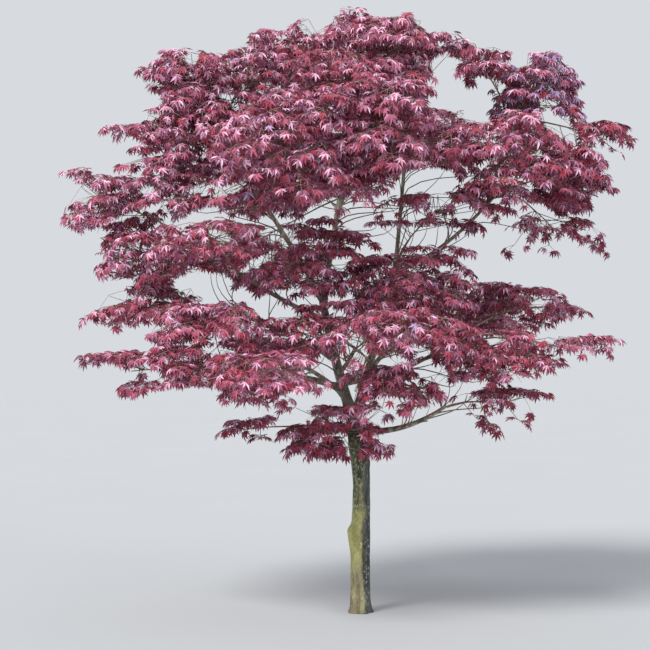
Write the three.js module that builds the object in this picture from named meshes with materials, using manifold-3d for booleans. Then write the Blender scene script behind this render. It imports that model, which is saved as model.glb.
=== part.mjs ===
// A red-leaved Japanese maple, about 3.6 m tall, as separate solids in millimetres: one trunk, its boughs,
// and the layered masses of foliage that they carry. +X is to the right of the tree's front, +Y runs to its
// back, +Z is up, and the origin is in the middle of the flat cut at ground level.
import * as THREE from "three";
import { mergeVertices } from "three/addons/utils/BufferGeometryUtils.js";
import Module from "manifold-3d";

const wasm = await Module();
wasm.setup();

// Driving dimensions
const SEED = 11;
const GAP = 0.3; // between pieces that meet
const TRUNK_SIDES = 12;
const TRUNK_STEPS = 20;
const BOUGH_SIDES = 6;
const BOUGH_STEP = 130; // length of one straight stretch of a bough
const FEWEST_STEPS = 4; // straight stretches of the shortest bough
const STEEP = 0.8; // upward share of the heading of a limb that counts as upright
const CARRY_STEPS = 6; // small turns in which a ring's directions are carried to the next ring
const GOLDEN_ANGLE = Math.PI * (3 - Math.sqrt(5));

// The trunk: its line from the ground to the fork, and its girth at shares of its height
const TRUNK_LINE = [
  [0, 0, 0],
  [2, 0, 420],
  [8, 0, 760],
  [-8, 4, 960],
  [-45, 8, 1180],
];
const TRUNK_GIRTH = [58, 58, 57, 54, 51, 53, 58, 51, 44]; // radii, evenly spaced up the trunk
const ROOT_FLARE = { spread: 17, height: 45, buttresses: 5, relief: 0.45 };
const BURL = { height: 486, bearing: 180, swell: 23, above: 34, below: 95, width: 0.62 };
const PRUNING_KNOT = { height: 895, bearing: 325, swell: 9, above: 30, below: 34, width: 0.45 };

// The boughs: what each grows on and how far along it, its tip, its radii at foot and tip, and how far
// its middle is bent upwards and towards the back
const BOUGHS = [
  { name: "leader", on: "trunk", at: 0.985, tip: [-230, 30, 1890], radii: [36, 22], bend: [-60, 20] },
  { name: "right_leader", on: "trunk", at: 0.955, tip: [225, 60, 2110], radii: [29, 15], bend: [-30, 50] },
  { name: "right_low", on: "trunk", at: 0.9, tip: [500, -190, 1235], radii: [22, 10], bend: [-60, 10] },
  { name: "left_low", on: "leader", at: 0.3, tip: [-760, -380, 1440], radii: [19, 9], bend: [30, -30] },
  { name: "right_mid", on: "leader", at: 0.36, tip: [520, -210, 1600], radii: [17, 9], bend: [-50, -70] },
  { name: "left_mid", on: "leader", at: 0.56, tip: [-760, -150, 1790], radii: [18, 9], bend: [20, 20] },
  { name: "front", on: "leader", at: 0.45, tip: [-40, -430, 1570], radii: [16, 9], bend: [-20, 20] },
  { name: "back_left", on: "leader", at: 0.22, tip: [-420, 600, 1500], radii: [18, 9], bend: [20, 0] },
  { name: "back_right", on: "right_leader", at: 0.3, tip: [330, 650, 1700], radii: [17, 9], bend: [30, 0] },
  { name: "left_outer", on: "leader", at: 0.84, tip: [-900, -60, 2150], radii: [16, 9], bend: [-30, 30] },
  { name: "upper_left", on: "leader", at: 0.985, tip: [-650, -20, 2560], radii: [18, 10], bend: [10, -20] },
  { name: "centre", on: "leader", at: 0.95, tip: [-70, -20, 2800], radii: [18, 10], bend: [20, -40] },
  { name: "back_upper", on: "centre", at: 0.4, tip: [-80, 560, 2560], radii: [14, 9], bend: [30, 0] },
  { name: "left_crown", on: "upper_left", at: 0.97, tip: [-820, 20, 2930], radii: [10, 7], bend: [10, 20] },
  { name: "right_top", on: "right_leader", at: 0.97, tip: [270, -60, 2730], radii: [13, 9], bend: [0, -30] },
  { name: "right_outer", on: "right_leader", at: 0.93, tip: [800, -10, 2480], radii: [13, 9], bend: [-60, 20] },
  { name: "right_crown", on: "right_outer", at: 0.94, tip: [900, 50, 2900], radii: [9, 7], bend: [0, 20] },
];

// The masses of foliage: what carries each, its heart, and half of its width, depth and height
const MASSES = [
  { name: "low_centre", on: "trunk", at: 0.86, heart: [-150, -190, 1100], half: [330, 260, 165] },
  { name: "low_left", on: "trunk", at: 0.93, heart: [-645, -250, 1100], half: [135, 135, 95] },
  { name: "left_low_inner", on: "left_low", heart: [-520, -830, 1405], half: [365, 380, 158] },
  { name: "left_low_middle", on: "left_low", heart: [-970, -480, 1465], half: [290, 320, 150] },
  { name: "left_low_tip", on: "left_low", heart: [-1280, -240, 1440], half: [310, 300, 130] },
  { name: "right_low", on: "right_low", heart: [835, -250, 1235], half: [265, 280, 115] },
  { name: "left_middle", on: "left_mid", heart: [-850, -430, 1690], half: [410, 360, 165] },
  { name: "left_shelf", on: "left_mid", heart: [-1300, 150, 1812], half: [355, 380, 178] },
  { name: "front_low", on: "front", heart: [170, -520, 1325], half: [300, 260, 150] },
  { name: "front_right", on: "front", heart: [175, -800, 1630], half: [390, 350, 160] },
  { name: "front_left", on: "front", heart: [-340, -430, 1655], half: [270, 260, 120] },
  { name: "right_middle", on: "right_mid", heart: [720, -400, 1525], half: [390, 360, 180] },
  { name: "right_middle_tip", on: "right_mid", heart: [1230, -120, 1555], half: [300, 300, 105] },
  { name: "right_shelf", on: "right_mid", heart: [1000, 330, 1835], half: [390, 400, 150] },
  { name: "back_right", on: "back_right", heart: [430, 1000, 1780], half: [440, 380, 270] },
  { name: "back_left_low", on: "back_left", heart: [-640, 860, 1480], half: [400, 380, 190] },
  { name: "centre_left", on: "leader", heart: [-290, -330, 2085], half: [340, 300, 225] },
  { name: "centre_right", on: "right_leader", heart: [260, -420, 1950], half: [440, 320, 185] },
  { name: "right_inner", on: "right_leader", heart: [440, -200, 2380], half: [400, 270, 110] },
  { name: "left_outer", on: "left_outer", heart: [-1320, 60, 2115], half: [335, 400, 185] },
  { name: "left_inner", on: "left_outer", heart: [-860, -450, 2155], half: [340, 350, 170] },
  { name: "left_far", on: "left_outer", heart: [-1530, 60, 2465], half: [300, 340, 170] },
  { name: "left_upper_inner", on: "upper_left", heart: [-1090, -200, 2545], half: [310, 330, 190] },
  { name: "upper_left", on: "upper_left", heart: [-950, -180, 2820], half: [400, 380, 200] },
  { name: "centre_front", on: "centre", heart: [-375, -900, 2650], half: [450, 420, 340] },
  { name: "top_centre", on: "centre", heart: [-80, 230, 3390], half: [340, 450, 260] },
  { name: "centre_heart", on: "centre", heart: [-120, -480, 3060], half: [330, 340, 230] },
  { name: "top_left", on: "left_crown", heart: [-530, 120, 3250], half: [380, 440, 265] },
  { name: "centre_upper", on: "right_top", heart: [110, -860, 2755], half: [290, 410, 320] },
  { name: "top_right", on: "right_top", heart: [205, -120, 3310], half: [275, 400, 265] },
  { name: "right_shoulder", on: "right_top", heart: [690, -280, 2720], half: [300, 310, 150] },
  { name: "right_outer", on: "right_outer", heart: [1285, 60, 2600], half: [220, 360, 190] },
  { name: "right_under", on: "right_outer", heart: [1240, 420, 2280], half: [350, 360, 115] },
  { name: "right_upper", on: "right_outer", heart: [940, -260, 2700], half: [400, 380, 270] },
  { name: "right_top", on: "right_crown", heart: [1085, 120, 3140], half: [265, 380, 255] },
  { name: "right_top_lobe", on: "right_crown", heart: [735, 90, 3320], half: [255, 320, 115] },
  { name: "right_tip", on: "right_crown", heart: [1430, -20, 2825], half: [230, 230, 110] },
  { name: "back_upper_left", on: "back_upper", heart: [-560, 850, 2760], half: [440, 450, 310] },
  { name: "back_upper_right", on: "back_upper", heart: [400, 850, 2950], half: [450, 450, 235] },
  { name: "back_middle_left", on: "back_upper", heart: [-760, 880, 2190], half: [420, 420, 205] },
  { name: "upper_left_tip", on: "left_crown", heart: [-1005, -80, 3130], half: [265, 400, 220] },
  { name: "left_tip_upper", on: "left_crown", heart: [-1355, 40, 2855], half: [180, 200, 75] },
];

// The stem of a mass: its radii at foot and tip, how far stems stand from the middle of a bough's tip and
// clear of its end, how much of the way it goes straight on from there, and its reach beyond the mass's
// heart and arch there
const STEM = {
  sides: 4,
  steps: 3,
  radii: [7, 6.5],
  apart: 7.5,
  clear: 0.36,
  straight: 0.3,
  beyond: 0.5,
  arch: 0.25,
};

// The three-sided twig that carries a leaf: its radius, the shares of the stem between which it may start
// and how many places are tried there, how far back it starts as a share of its length, and the least and
// most angle at which it comes up under its leaf
const TWIG = { radius: 3.4, from: 0.12, to: 0.96, places: 31, back: 0.4, rise: 0.36, steepest: 1.2 };
const SHORTEST_TWIG = 0.2; // as a share of the leaf's length

// A leaf is a drooping star of lobes round the end of its twig, in shares of its length. Each row is the
// bearing of a point of its rim from the leaf's own heading, how far out it lies, and how far it droops.
const LEAF_RIM = [
  [0, 1, 0.42],
  [36, 0.56, 0.1],
  [70, 0.92, 0.4],
  [106, 0.52, 0.1],
  [142, 0.82, 0.34],
  [180, 0.46, 0.05],
];
const LEAF_TOP = 0.045;
const LEAF_VARIETY = { bearing: 4, reach: 0.1 }; // degrees, and a share of the reach
const LEAF_LENGTH = { most: 250, least: 160, share: 0.72 }; // share of the mass's smaller half width
const LEAF_SIZES = [1, 0.85, 0.7]; // tried in turn until the leaf fits
const LEAF_TILT = 0.7; // outward lean of a leaf at the edge of its mass, in radians

// How a mass spreads its leaves: the heights of their hubs above its heart as shares of its height, how much
// those and the turn of the spiral vary, how much lower its edge is, how far the hubs keep inside it as a
// share of a leaf's length, how far a leaf may stand out of it, and how many leaves it gets
const SPREAD = { storeys: [0.8, -0.1], storey: 0.1, turn: 0.35, dome: 0.35, inset: 0.6, over: 1.08 };
const LEAVES_PER_AREA = 2.8; // for a mass of the usual height, where area is measured in squared leaf lengths
const USUAL_HEIGHT = 160;
const TRIES_PER_LEAF = 18;

const bark = new THREE.MeshStandardMaterial({ color: 0x6f6a4c, roughness: 0.9, metalness: 0 });
const foliage = new THREE.MeshStandardMaterial({ color: 0x7c2438, roughness: 0.6, metalness: 0 });

const vector = (place) => new THREE.Vector3(...place);
const mix = THREE.MathUtils.lerp;

// A repeatable number from -1 to 1 for a seed and a place in its sequence.
function chance(seed, place) {
  let h = Math.imul(seed, 0x9e3779b1) ^ Math.imul(place + 1, 0x85ebca6b);
  h = Math.imul(h ^ (h >>> 15), 0x2c1b3c6d);
  h = Math.imul(h ^ (h >>> 12), 0x297a2d39);
  return ((h ^ (h >>> 15)) >>> 0) / 2 ** 31 - 1;
}

// A closed geometry as a solid.
function solidOf(geometry) {
  const closed = geometry.clone();
  closed.deleteAttribute("normal");
  closed.deleteAttribute("uv");
  const merged = mergeVertices(closed, 1e-4);
  const vertProperties = merged.attributes.position.array;
  const triVerts = new Uint32Array(merged.index.array);
  return new wasm.Manifold(new wasm.Mesh({ numProp: 3, vertProperties, triVerts }));
}

// A solid as a named mesh.
function meshOf(name, solid, material) {
  const { vertProperties, triVerts } = solid.getMesh();
  const geometry = new THREE.BufferGeometry();
  geometry.setAttribute("position", new THREE.BufferAttribute(vertProperties, 3));
  geometry.setIndex(new THREE.BufferAttribute(triVerts, 1));
  geometry.computeVertexNormals();
  const mesh = new THREE.Mesh(geometry, material);
  mesh.name = name;
  return mesh;
}

const sum = (values) => values.reduce((total, value) => total + value, 0);

// The value at a share of the way through evenly spaced values.
function along(values, share) {
  const place = share * (values.length - 1);
  const before = Math.min(Math.floor(place), values.length - 2);
  return mix(values[before], values[before + 1], place - before);
}

// The directions over and across a curve at each of its rings, carried along it without a twist.
function ringFrames(curve, steps) {
  const steep = Math.abs(curve.getTangent(0).z) > STEEP;
  const over = new THREE.Vector3(0, steep ? 1 : 0, steep ? 0 : 1);
  const frames = [];
  for (let k = 0; k <= steps * CARRY_STEPS; k++) {
    const ahead = curve.getTangent(k / (steps * CARRY_STEPS));
    over.projectOnPlane(ahead).normalize();
    if (k % CARRY_STEPS === 0) frames.push({ over: over.clone(), across: over.clone().cross(ahead) });
  }
  return frames;
}

// A tapering tube along a curve, which a growth makes wider and longer by the same amount all round.
function tube(curve, radii, sides, steps, growth) {
  const geometry = new THREE.CylinderGeometry(1, 1, 1, sides, steps);
  const position = geometry.attributes.position;
  const frames = ringFrames(curve, steps);
  for (let i = 0; i < position.count; i++) {
    const step = Math.round((0.5 - position.getY(i)) * steps);
    const radius = mix(radii[0], radii[1], step / steps) + growth;
    const place = curve.getPoint(step / steps);
    const within = curve.getPoint(THREE.MathUtils.clamp(step, 1, steps - 1) / steps);
    place.addScaledVector(place.clone().sub(within).normalize(), growth);
    place.addScaledVector(frames[step].across, position.getX(i) * radius);
    place.addScaledVector(frames[step].over, position.getZ(i) * radius);
    position.setXYZ(i, place.x, place.y, place.z);
  }
  return solidOf(geometry);
}

// A swelling on the trunk at a height and an angle round it, such as a burl.
function swelling({ height, bearing, swell, above, below, width }, z, angle) {
  const turn = Math.sin((angle - THREE.MathUtils.degToRad(bearing)) / 2) / width;
  const rise = (z - height) / (z > height ? above : below);
  return swell * Math.exp(-rise * rise - turn * turn);
}

// The curve of a bough: from its foot to its tip, with its middle bent upwards and towards the back.
function bentCurve(foot, tip, [upwards, backwards]) {
  const middle = foot.clone().lerp(tip, 0.5).add(new THREE.Vector3(0, 2 * backwards, 2 * upwards));
  return new THREE.QuadraticBezierCurve3(foot, middle, tip);
}

const limbs = new Map(); // each limb's curve and solid, by name
const standing = []; // every solid so far, grown by the gap, that later pieces keep clear of
const boxes = new Map(); // the bounding box of each solid that has been asked for

function boxOf(solid) {
  if (!boxes.has(solid)) boxes.set(solid, solid.boundingBox());
  return boxes.get(solid);
}

function boxesMeet(a, b) {
  const [p, q] = [boxOf(a), boxOf(b)];
  return [0, 1, 2].every((k) => p.min[k] <= q.max[k] && q.min[k] <= p.max[k]);
}

const meets = (a, b) => boxesMeet(a, b) && !a.intersect(b).isEmpty();

// The largest body of a solid, which leaves out loose scraps.
function largest(solid) {
  const bodies = solid.decompose();
  return bodies.reduce((a, b) => (a.volume() > b.volume() ? a : b));
}

// A piece cut clear of all that stands, without the loose scraps that the cut leaves.
function clearOfStanding(piece) {
  const near = standing.filter((other) => boxesMeet(piece, other));
  return largest(near.reduce((left, other) => left.subtract(other), piece));
}

function growTrunk() {
  const curve = new THREE.CatmullRomCurve3(TRUNK_LINE.map(vector), false, "catmullrom");
  limbs.set("trunk", { curve, solid: trunkSolid(curve, 0) });
  standing.push(trunkSolid(curve, GAP));
}

// The trunk has level rings, so that its foot is a flat cut at ground level.
function trunkSolid(curve, growth) {
  const geometry = new THREE.CylinderGeometry(1, 1, 1, TRUNK_SIDES, TRUNK_STEPS);
  const position = geometry.attributes.position;
  for (let i = 0; i < position.count; i++) {
    const share = position.getY(i) + 0.5;
    const angle = Math.atan2(-position.getZ(i), position.getX(i));
    const centre = curve.getPoint(share);
    const outward = Math.hypot(position.getX(i), position.getZ(i));
    const reach = outward * (trunkRadius(share, centre.z, angle) + growth);
    const x = centre.x + reach * Math.cos(angle);
    const y = centre.y + reach * Math.sin(angle);
    position.setXYZ(i, x, y, centre.z + (share === 1 ? growth : 0));
  }
  return solidOf(geometry);
}

function trunkRadius(share, z, angle) {
  const buttress = 1 + ROOT_FLARE.relief * Math.cos(ROOT_FLARE.buttresses * angle);
  const flare = ROOT_FLARE.spread * Math.exp(-z / ROOT_FLARE.height) * buttress;
  return along(TRUNK_GIRTH, share) + flare + swelling(BURL, z, angle) + swelling(PRUNING_KNOT, z, angle);
}

function growBough({ name, on, at, tip, radii, bend }) {
  const foot = limbs.get(on).curve.getPoint(at);
  const curve = bentCurve(foot, vector(tip), bend);
  const steps = Math.max(FEWEST_STEPS, Math.round(foot.distanceTo(vector(tip)) / BOUGH_STEP));
  limbs.set(name, { curve, solid: clearOfStanding(tube(curve, radii, BOUGH_SIDES, steps, 0)) });
  standing.push(tube(curve, radii, BOUGH_SIDES, steps, GAP));
}

// How far a point lies from the heart of a mass, where 1 is its own outer surface.
function depthIn({ heart, half }, point) {
  const shares = heart.map((h, k) => Math.abs(point.getComponent(k) - h) / half[k]);
  return Math.cbrt(sum(shares.map((share) => share ** 3)));
}

// Whether a point is within a mass and lies deeper in it than in any other.
function inOwnSpace(mass, point) {
  const own = depthIn(mass, point);
  return own <= SPREAD.over && MASSES.every((other) => other === mass || depthIn(other, point) >= own);
}

// The rim and top of a leaf round a hub, with its first lobe heading out and its upper side facing up.
function leafPoints(hub, out, up, length, seed) {
  const across = new THREE.Vector3().crossVectors(up, out).normalize();
  const ahead = new THREE.Vector3().crossVectors(across, up);
  const at = (x, y, z) =>
    hub
      .clone()
      .addScaledVector(ahead, x * length)
      .addScaledVector(across, y * length)
      .addScaledVector(up, z * length);
  const mirrored = LEAF_RIM.slice(1, -1).map(([bearing, reach, droop]) => [-bearing, reach, droop]);
  const rim = [...LEAF_RIM, ...mirrored.reverse()].map(([bearing, reach, droop], k) => {
    const turn = THREE.MathUtils.degToRad(bearing + LEAF_VARIETY.bearing * chance(seed, k));
    const far = reach * (1 + LEAF_VARIETY.reach * chance(seed, k + 20));
    return at(far * Math.cos(turn), far * Math.sin(turn), -droop);
  });
  return { rim, top: at(0, 0, LEAF_TOP) };
}

// Three points round a place, across a direction, with the first one on the side given.
function triangleRound(place, direction, side, radius) {
  const first = side.clone().addScaledVector(direction, -side.dot(direction)).normalize();
  const second = new THREE.Vector3().crossVectors(direction, first);
  return [0, 1, 2].map((k) => {
    const turn = (k * 2 * Math.PI) / 3;
    return place
      .clone()
      .addScaledVector(first, radius * Math.cos(turn))
      .addScaledVector(second, radius * Math.sin(turn));
  });
}

// A leaf and the twig that carries it, as one closed solid from the twig's foot to the leaf's rim.
function leafOnTwig({ rim, top }, hub, foot, up, out) {
  const ahead = out.clone().addScaledVector(up, -out.dot(up));
  const collar = triangleRound(hub, up, ahead, TWIG.radius);
  const base = triangleRound(foot, hub.clone().sub(foot).normalize(), ahead, TWIG.radius);
  const n = rim.length;
  const [ringTop, ringCollar, ringBase] = [n, n + 1, n + 4];
  const faces = [];
  const nearest = (k) => Math.round(((k / n) * 3) % 3) % 3;
  for (let i = 0; i < n; i++) {
    const next = (i + 1) % n;
    faces.push(i, next, ringTop);
    faces.push(next, i, ringCollar + nearest(i));
    if (nearest(i) !== nearest(next)) faces.push(next, ringCollar + nearest(i), ringCollar + nearest(next));
  }
  for (let k = 0; k < 3; k++) {
    const next = (k + 1) % 3;
    faces.push(ringCollar + k, ringBase + next, ringCollar + next);
    faces.push(ringCollar + k, ringBase + k, ringBase + next);
  }
  faces.push(ringBase, ringBase + 2, ringBase + 1);
  const geometry = new THREE.BufferGeometry().setFromPoints([...rim, top, ...collar, ...base]);
  geometry.setIndex(faces);
  return solidOf(geometry);
}

// A place inside a stem's straight stretches, at a share of its way.
function placeInStem(stem, share) {
  const stretch = Math.min(Math.floor(share * STEM.steps), STEM.steps - 1);
  const from = stem.getPoint(stretch / STEM.steps);
  return from.lerp(stem.getPoint((stretch + 1) / STEM.steps), share * STEM.steps - stretch);
}

// Where in a stem the twig of a leaf begins: back from the nearest place, so that the twig leans forward.
function twigFoot(stem, hub) {
  const step = (TWIG.to - TWIG.from) / (TWIG.places - 1);
  const shares = Array.from({ length: TWIG.places }, (_, k) => TWIG.from + k * step);
  const gap = (share) => placeInStem(stem, share).distanceTo(hub);
  const nearest = shares.reduce((a, b) => (gap(a) < gap(b) ? a : b));
  const span = stem.getPoint(0).distanceTo(stem.getPoint(1));
  return placeInStem(stem, Math.max(TWIG.from, nearest - (TWIG.back * gap(nearest)) / span));
}

// The end of the twig at one place of the sunflower spiral that spreads a mass's leaves.
function hubAt({ heart, half, seed }, index, places, length) {
  const turn = index * GOLDEN_ANGLE + SPREAD.turn * chance(seed, 4 * index);
  const spread = Math.sqrt((index + 0.5) / places);
  const storey = SPREAD.storeys[index % 2] + SPREAD.storey * chance(seed, 4 * index + 1);
  const hub = new THREE.Vector3(
    heart[0] + Math.max(0, half[0] - SPREAD.inset * length) * spread * Math.cos(turn),
    heart[1] + Math.max(0, half[1] - SPREAD.inset * length) * spread * Math.sin(turn),
    heart[2] + half[2] * storey * (1 - SPREAD.dome * spread * spread),
  );
  return { hub, spread };
}

// A leaf on its twig at one place of the spiral, or null where no size of leaf can be there.
function leafAt(mass, index, places, stem, obstacles) {
  for (const size of LEAF_SIZES) {
    const length = size * leafLength(mass);
    const { hub, spread } = hubAt(mass, index, places, length);
    const foot = twigFoot(stem, hub);
    const heading = hub.clone().sub(foot);
    const rise = Math.atan2(heading.z, Math.hypot(heading.x, heading.y));
    const lean = Math.max(LEAF_TILT * spread, TWIG.rise - rise);
    if (heading.length() < SHORTEST_TWIG * length || Math.max(rise, lean) > TWIG.steepest) continue;
    const out = heading.setZ(0).normalize();
    const up = out.clone().multiplyScalar(Math.sin(lean)).setZ(Math.cos(lean));
    const shape = leafPoints(hub, out, up, length, mass.seed * 100 + index);
    if (!shape.rim.every((point) => inOwnSpace(mass, point))) continue;
    const leaf = leafOnTwig(shape, hub, foot, up, out);
    if (!obstacles.some((other) => meets(leaf, other))) return leaf;
  }
  return null;
}

const leafLength = ({ half }) =>
  THREE.MathUtils.clamp(LEAF_LENGTH.share * Math.min(half[0], half[1]), LEAF_LENGTH.least, LEAF_LENGTH.most);

// Where round the tip of its bough the stem of a mass begins, as an angle about the bough's heading. The
// stems that share a tip stand evenly round it, in the order of the directions that they set off in.
function placeRoundTip(mass, frame) {
  const bearing = (other) => {
    const aim = vector(other.heart).sub(frame.tip);
    return Math.atan2(aim.dot(frame.over), aim.dot(frame.side));
  };
  const sharing = MASSES.filter((other) => other.on === mass.on && !other.at);
  sharing.sort((a, b) => bearing(a) - bearing(b));
  const step = (2 * Math.PI) / sharing.length;
  const slack = sharing.map((other, k) => bearing(other) - k * step);
  const turn = Math.atan2(sum(slack.map(Math.sin)), sum(slack.map(Math.cos)));
  return turn + step * sharing.indexOf(mass);
}

// The curve of a mass's stem, from the tip of its bough, or from inside the trunk, to beyond its heart.
function stemCurve(mass) {
  const { curve } = limbs.get(mass.on);
  const tip = curve.getPoint(mass.at ?? 1);
  const heart = vector(mass.heart);
  const ahead = mass.at ? heart.clone().sub(tip).normalize() : curve.getTangent(1);
  const side = new THREE.Vector3(0, 0, 1).cross(ahead).normalize();
  const over = ahead.clone().cross(side);
  const foot = tip.clone();
  if (!mass.at) {
    const turn = placeRoundTip(mass, { tip, side, over });
    foot.addScaledVector(ahead, STEM.clear);
    foot.addScaledVector(side, STEM.apart * Math.cos(turn));
    foot.addScaledVector(over, STEM.apart * Math.sin(turn));
  }
  const beyond = heart.clone().sub(foot).setZ(0).setLength(STEM.beyond * Math.min(...mass.half));
  const first = foot.clone().addScaledVector(ahead, STEM.straight * heart.distanceTo(foot));
  const last = heart.clone().addScaledVector(beyond, -STEM.straight);
  last.z += STEM.arch * mass.half[2];
  return new THREE.CubicBezierCurve3(foot, first, last, heart.add(beyond));
}

const stemSolid = (curve, growth) => tube(curve, STEM.radii, STEM.sides, STEM.steps, growth);

function growStem(mass) {
  mass.curve = stemCurve(mass);
  mass.stem = clearOfStanding(stemSolid(mass.curve, 0));
  mass.grownStem = stemSolid(mass.curve, GAP);
  standing.push(mass.grownStem);
}

// The leaves of a mass fused on to its stem, from its edge inwards until it has enough.
function growLeaves(mass) {
  const [width, depth, height] = mass.half;
  const area = (width * depth) / leafLength(mass) ** 2;
  const wanted = Math.round(LEAVES_PER_AREA * area * Math.sqrt(height / USUAL_HEIGHT));
  const places = wanted * TRIES_PER_LEAF;
  const others = standing.filter((other) => other !== mass.grownStem);
  const leaves = [];
  for (let index = places - 1; index >= 0 && leaves.length < wanted; index--) {
    const leaf = leafAt(mass, index, places, mass.curve, [...others, ...leaves]);
    if (leaf) leaves.push(leaf);
  }
  const fused = largest(wasm.Manifold.union([mass.stem, ...leaves]));
  standing.push(fused);
  return meshOf("foliage_" + mass.name, fused, foliage);
}

growTrunk();
BOUGHS.forEach(growBough);
MASSES.forEach((mass, index) => (mass.seed = SEED + index));
MASSES.forEach(growStem); // every stem comes before the leaves, so that no leaf stands in its way

const tree = new THREE.Group();
for (const [name, { solid }] of limbs) {
  tree.add(meshOf(name === "trunk" ? name : "bough_" + name, solid, bark));
}
tree.add(...MASSES.map(growLeaves));

export default tree;
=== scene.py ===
import math
from collections import namedtuple

import bpy
import numpy as np
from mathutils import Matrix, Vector, noise
from mathutils.bvhtree import BVHTree


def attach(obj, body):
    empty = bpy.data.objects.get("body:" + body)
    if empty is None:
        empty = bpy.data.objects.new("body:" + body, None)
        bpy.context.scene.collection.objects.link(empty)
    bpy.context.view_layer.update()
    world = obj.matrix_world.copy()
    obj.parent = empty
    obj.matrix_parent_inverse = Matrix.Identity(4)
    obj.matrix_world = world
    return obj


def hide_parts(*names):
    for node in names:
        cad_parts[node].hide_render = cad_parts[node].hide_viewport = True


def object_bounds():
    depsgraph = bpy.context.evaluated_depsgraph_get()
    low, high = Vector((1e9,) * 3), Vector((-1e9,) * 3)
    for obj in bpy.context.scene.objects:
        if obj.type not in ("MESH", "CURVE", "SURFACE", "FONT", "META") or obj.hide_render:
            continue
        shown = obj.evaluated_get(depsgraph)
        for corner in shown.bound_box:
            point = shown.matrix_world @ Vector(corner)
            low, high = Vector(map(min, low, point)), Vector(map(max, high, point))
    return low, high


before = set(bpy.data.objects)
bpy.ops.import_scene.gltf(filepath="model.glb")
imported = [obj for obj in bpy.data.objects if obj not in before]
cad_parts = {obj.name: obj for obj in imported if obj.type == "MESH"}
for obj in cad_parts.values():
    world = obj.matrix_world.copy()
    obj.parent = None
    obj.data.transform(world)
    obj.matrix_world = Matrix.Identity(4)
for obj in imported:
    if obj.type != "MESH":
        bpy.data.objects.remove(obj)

CAD_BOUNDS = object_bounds()
MM = 0.001

# Driving dimensions of the limbs, as in the frame
SEED = 11
GAP = 0.3
TRUNK_SIDES = 12
TRUNK_STEPS = 20
BOUGH_SIDES = 6
BOUGH_STEP = 130
FEWEST_STEPS = 4
STEEP = 0.8  # a line that rises more than this has its rings' first point at the back, and not above
CARRY_STEPS = 6  # finer steps that carry the directions from one ring to the next
GOLDEN_ANGLE = math.pi * (3 - math.sqrt(5))
UP = np.array([0.0, 0.0, 1.0])
BACK = np.array([0.0, 1.0, 0.0])

TRUNK_LINE = [
    (0, 0, 0),
    (2, 0, 420),
    (8, 0, 760),
    (-8, 4, 960),
    (-45, 8, 1180),
]
TRUNK_GIRTH = [58, 58, 57, 54, 51, 53, 58, 51, 44]
ROOT_FLARE = dict(spread=17, height=45, buttresses=5, relief=0.45)
BURL = dict(height=486, bearing=180, swell=23, above=34, below=95, width=0.62)
PRUNING_KNOT = dict(height=895, bearing=325, swell=9, above=30, below=34, width=0.45)

# The boughs: name, what each grows on and how far along it, its tip, its radii at foot and tip, and how
# far its middle is bent upwards and towards the back
BOUGHS = [
    ("leader", "trunk", 0.985, (-230, 30, 1890), (36, 22), (-60, 20)),
    ("right_leader", "trunk", 0.955, (225, 60, 2110), (29, 15), (-30, 50)),
    ("right_low", "trunk", 0.9, (500, -190, 1235), (22, 10), (-60, 10)),
    ("left_low", "leader", 0.3, (-760, -380, 1440), (19, 9), (30, -30)),
    ("right_mid", "leader", 0.36, (520, -210, 1600), (17, 9), (-50, -70)),
    ("left_mid", "leader", 0.56, (-760, -150, 1790), (18, 9), (20, 20)),
    ("front", "leader", 0.45, (-40, -430, 1570), (16, 9), (-20, 20)),
    ("back_left", "leader", 0.22, (-420, 600, 1500), (18, 9), (20, 0)),
    ("back_right", "right_leader", 0.3, (330, 650, 1700), (17, 9), (30, 0)),
    ("left_outer", "leader", 0.84, (-900, -60, 2150), (16, 9), (-30, 30)),
    ("upper_left", "leader", 0.985, (-650, -20, 2560), (18, 10), (10, -20)),
    ("centre", "leader", 0.95, (-70, -20, 2800), (18, 10), (20, -40)),
    ("back_upper", "centre", 0.4, (-80, 560, 2560), (14, 9), (30, 0)),
    ("left_crown", "upper_left", 0.97, (-820, 20, 2930), (10, 7), (10, 20)),
    ("right_top", "right_leader", 0.97, (270, -60, 2730), (13, 9), (0, -30)),
    ("right_outer", "right_leader", 0.93, (800, -10, 2480), (13, 9), (-60, 20)),
    ("right_crown", "right_outer", 0.94, (900, 50, 2900), (9, 7), (0, 20)),
]

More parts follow.
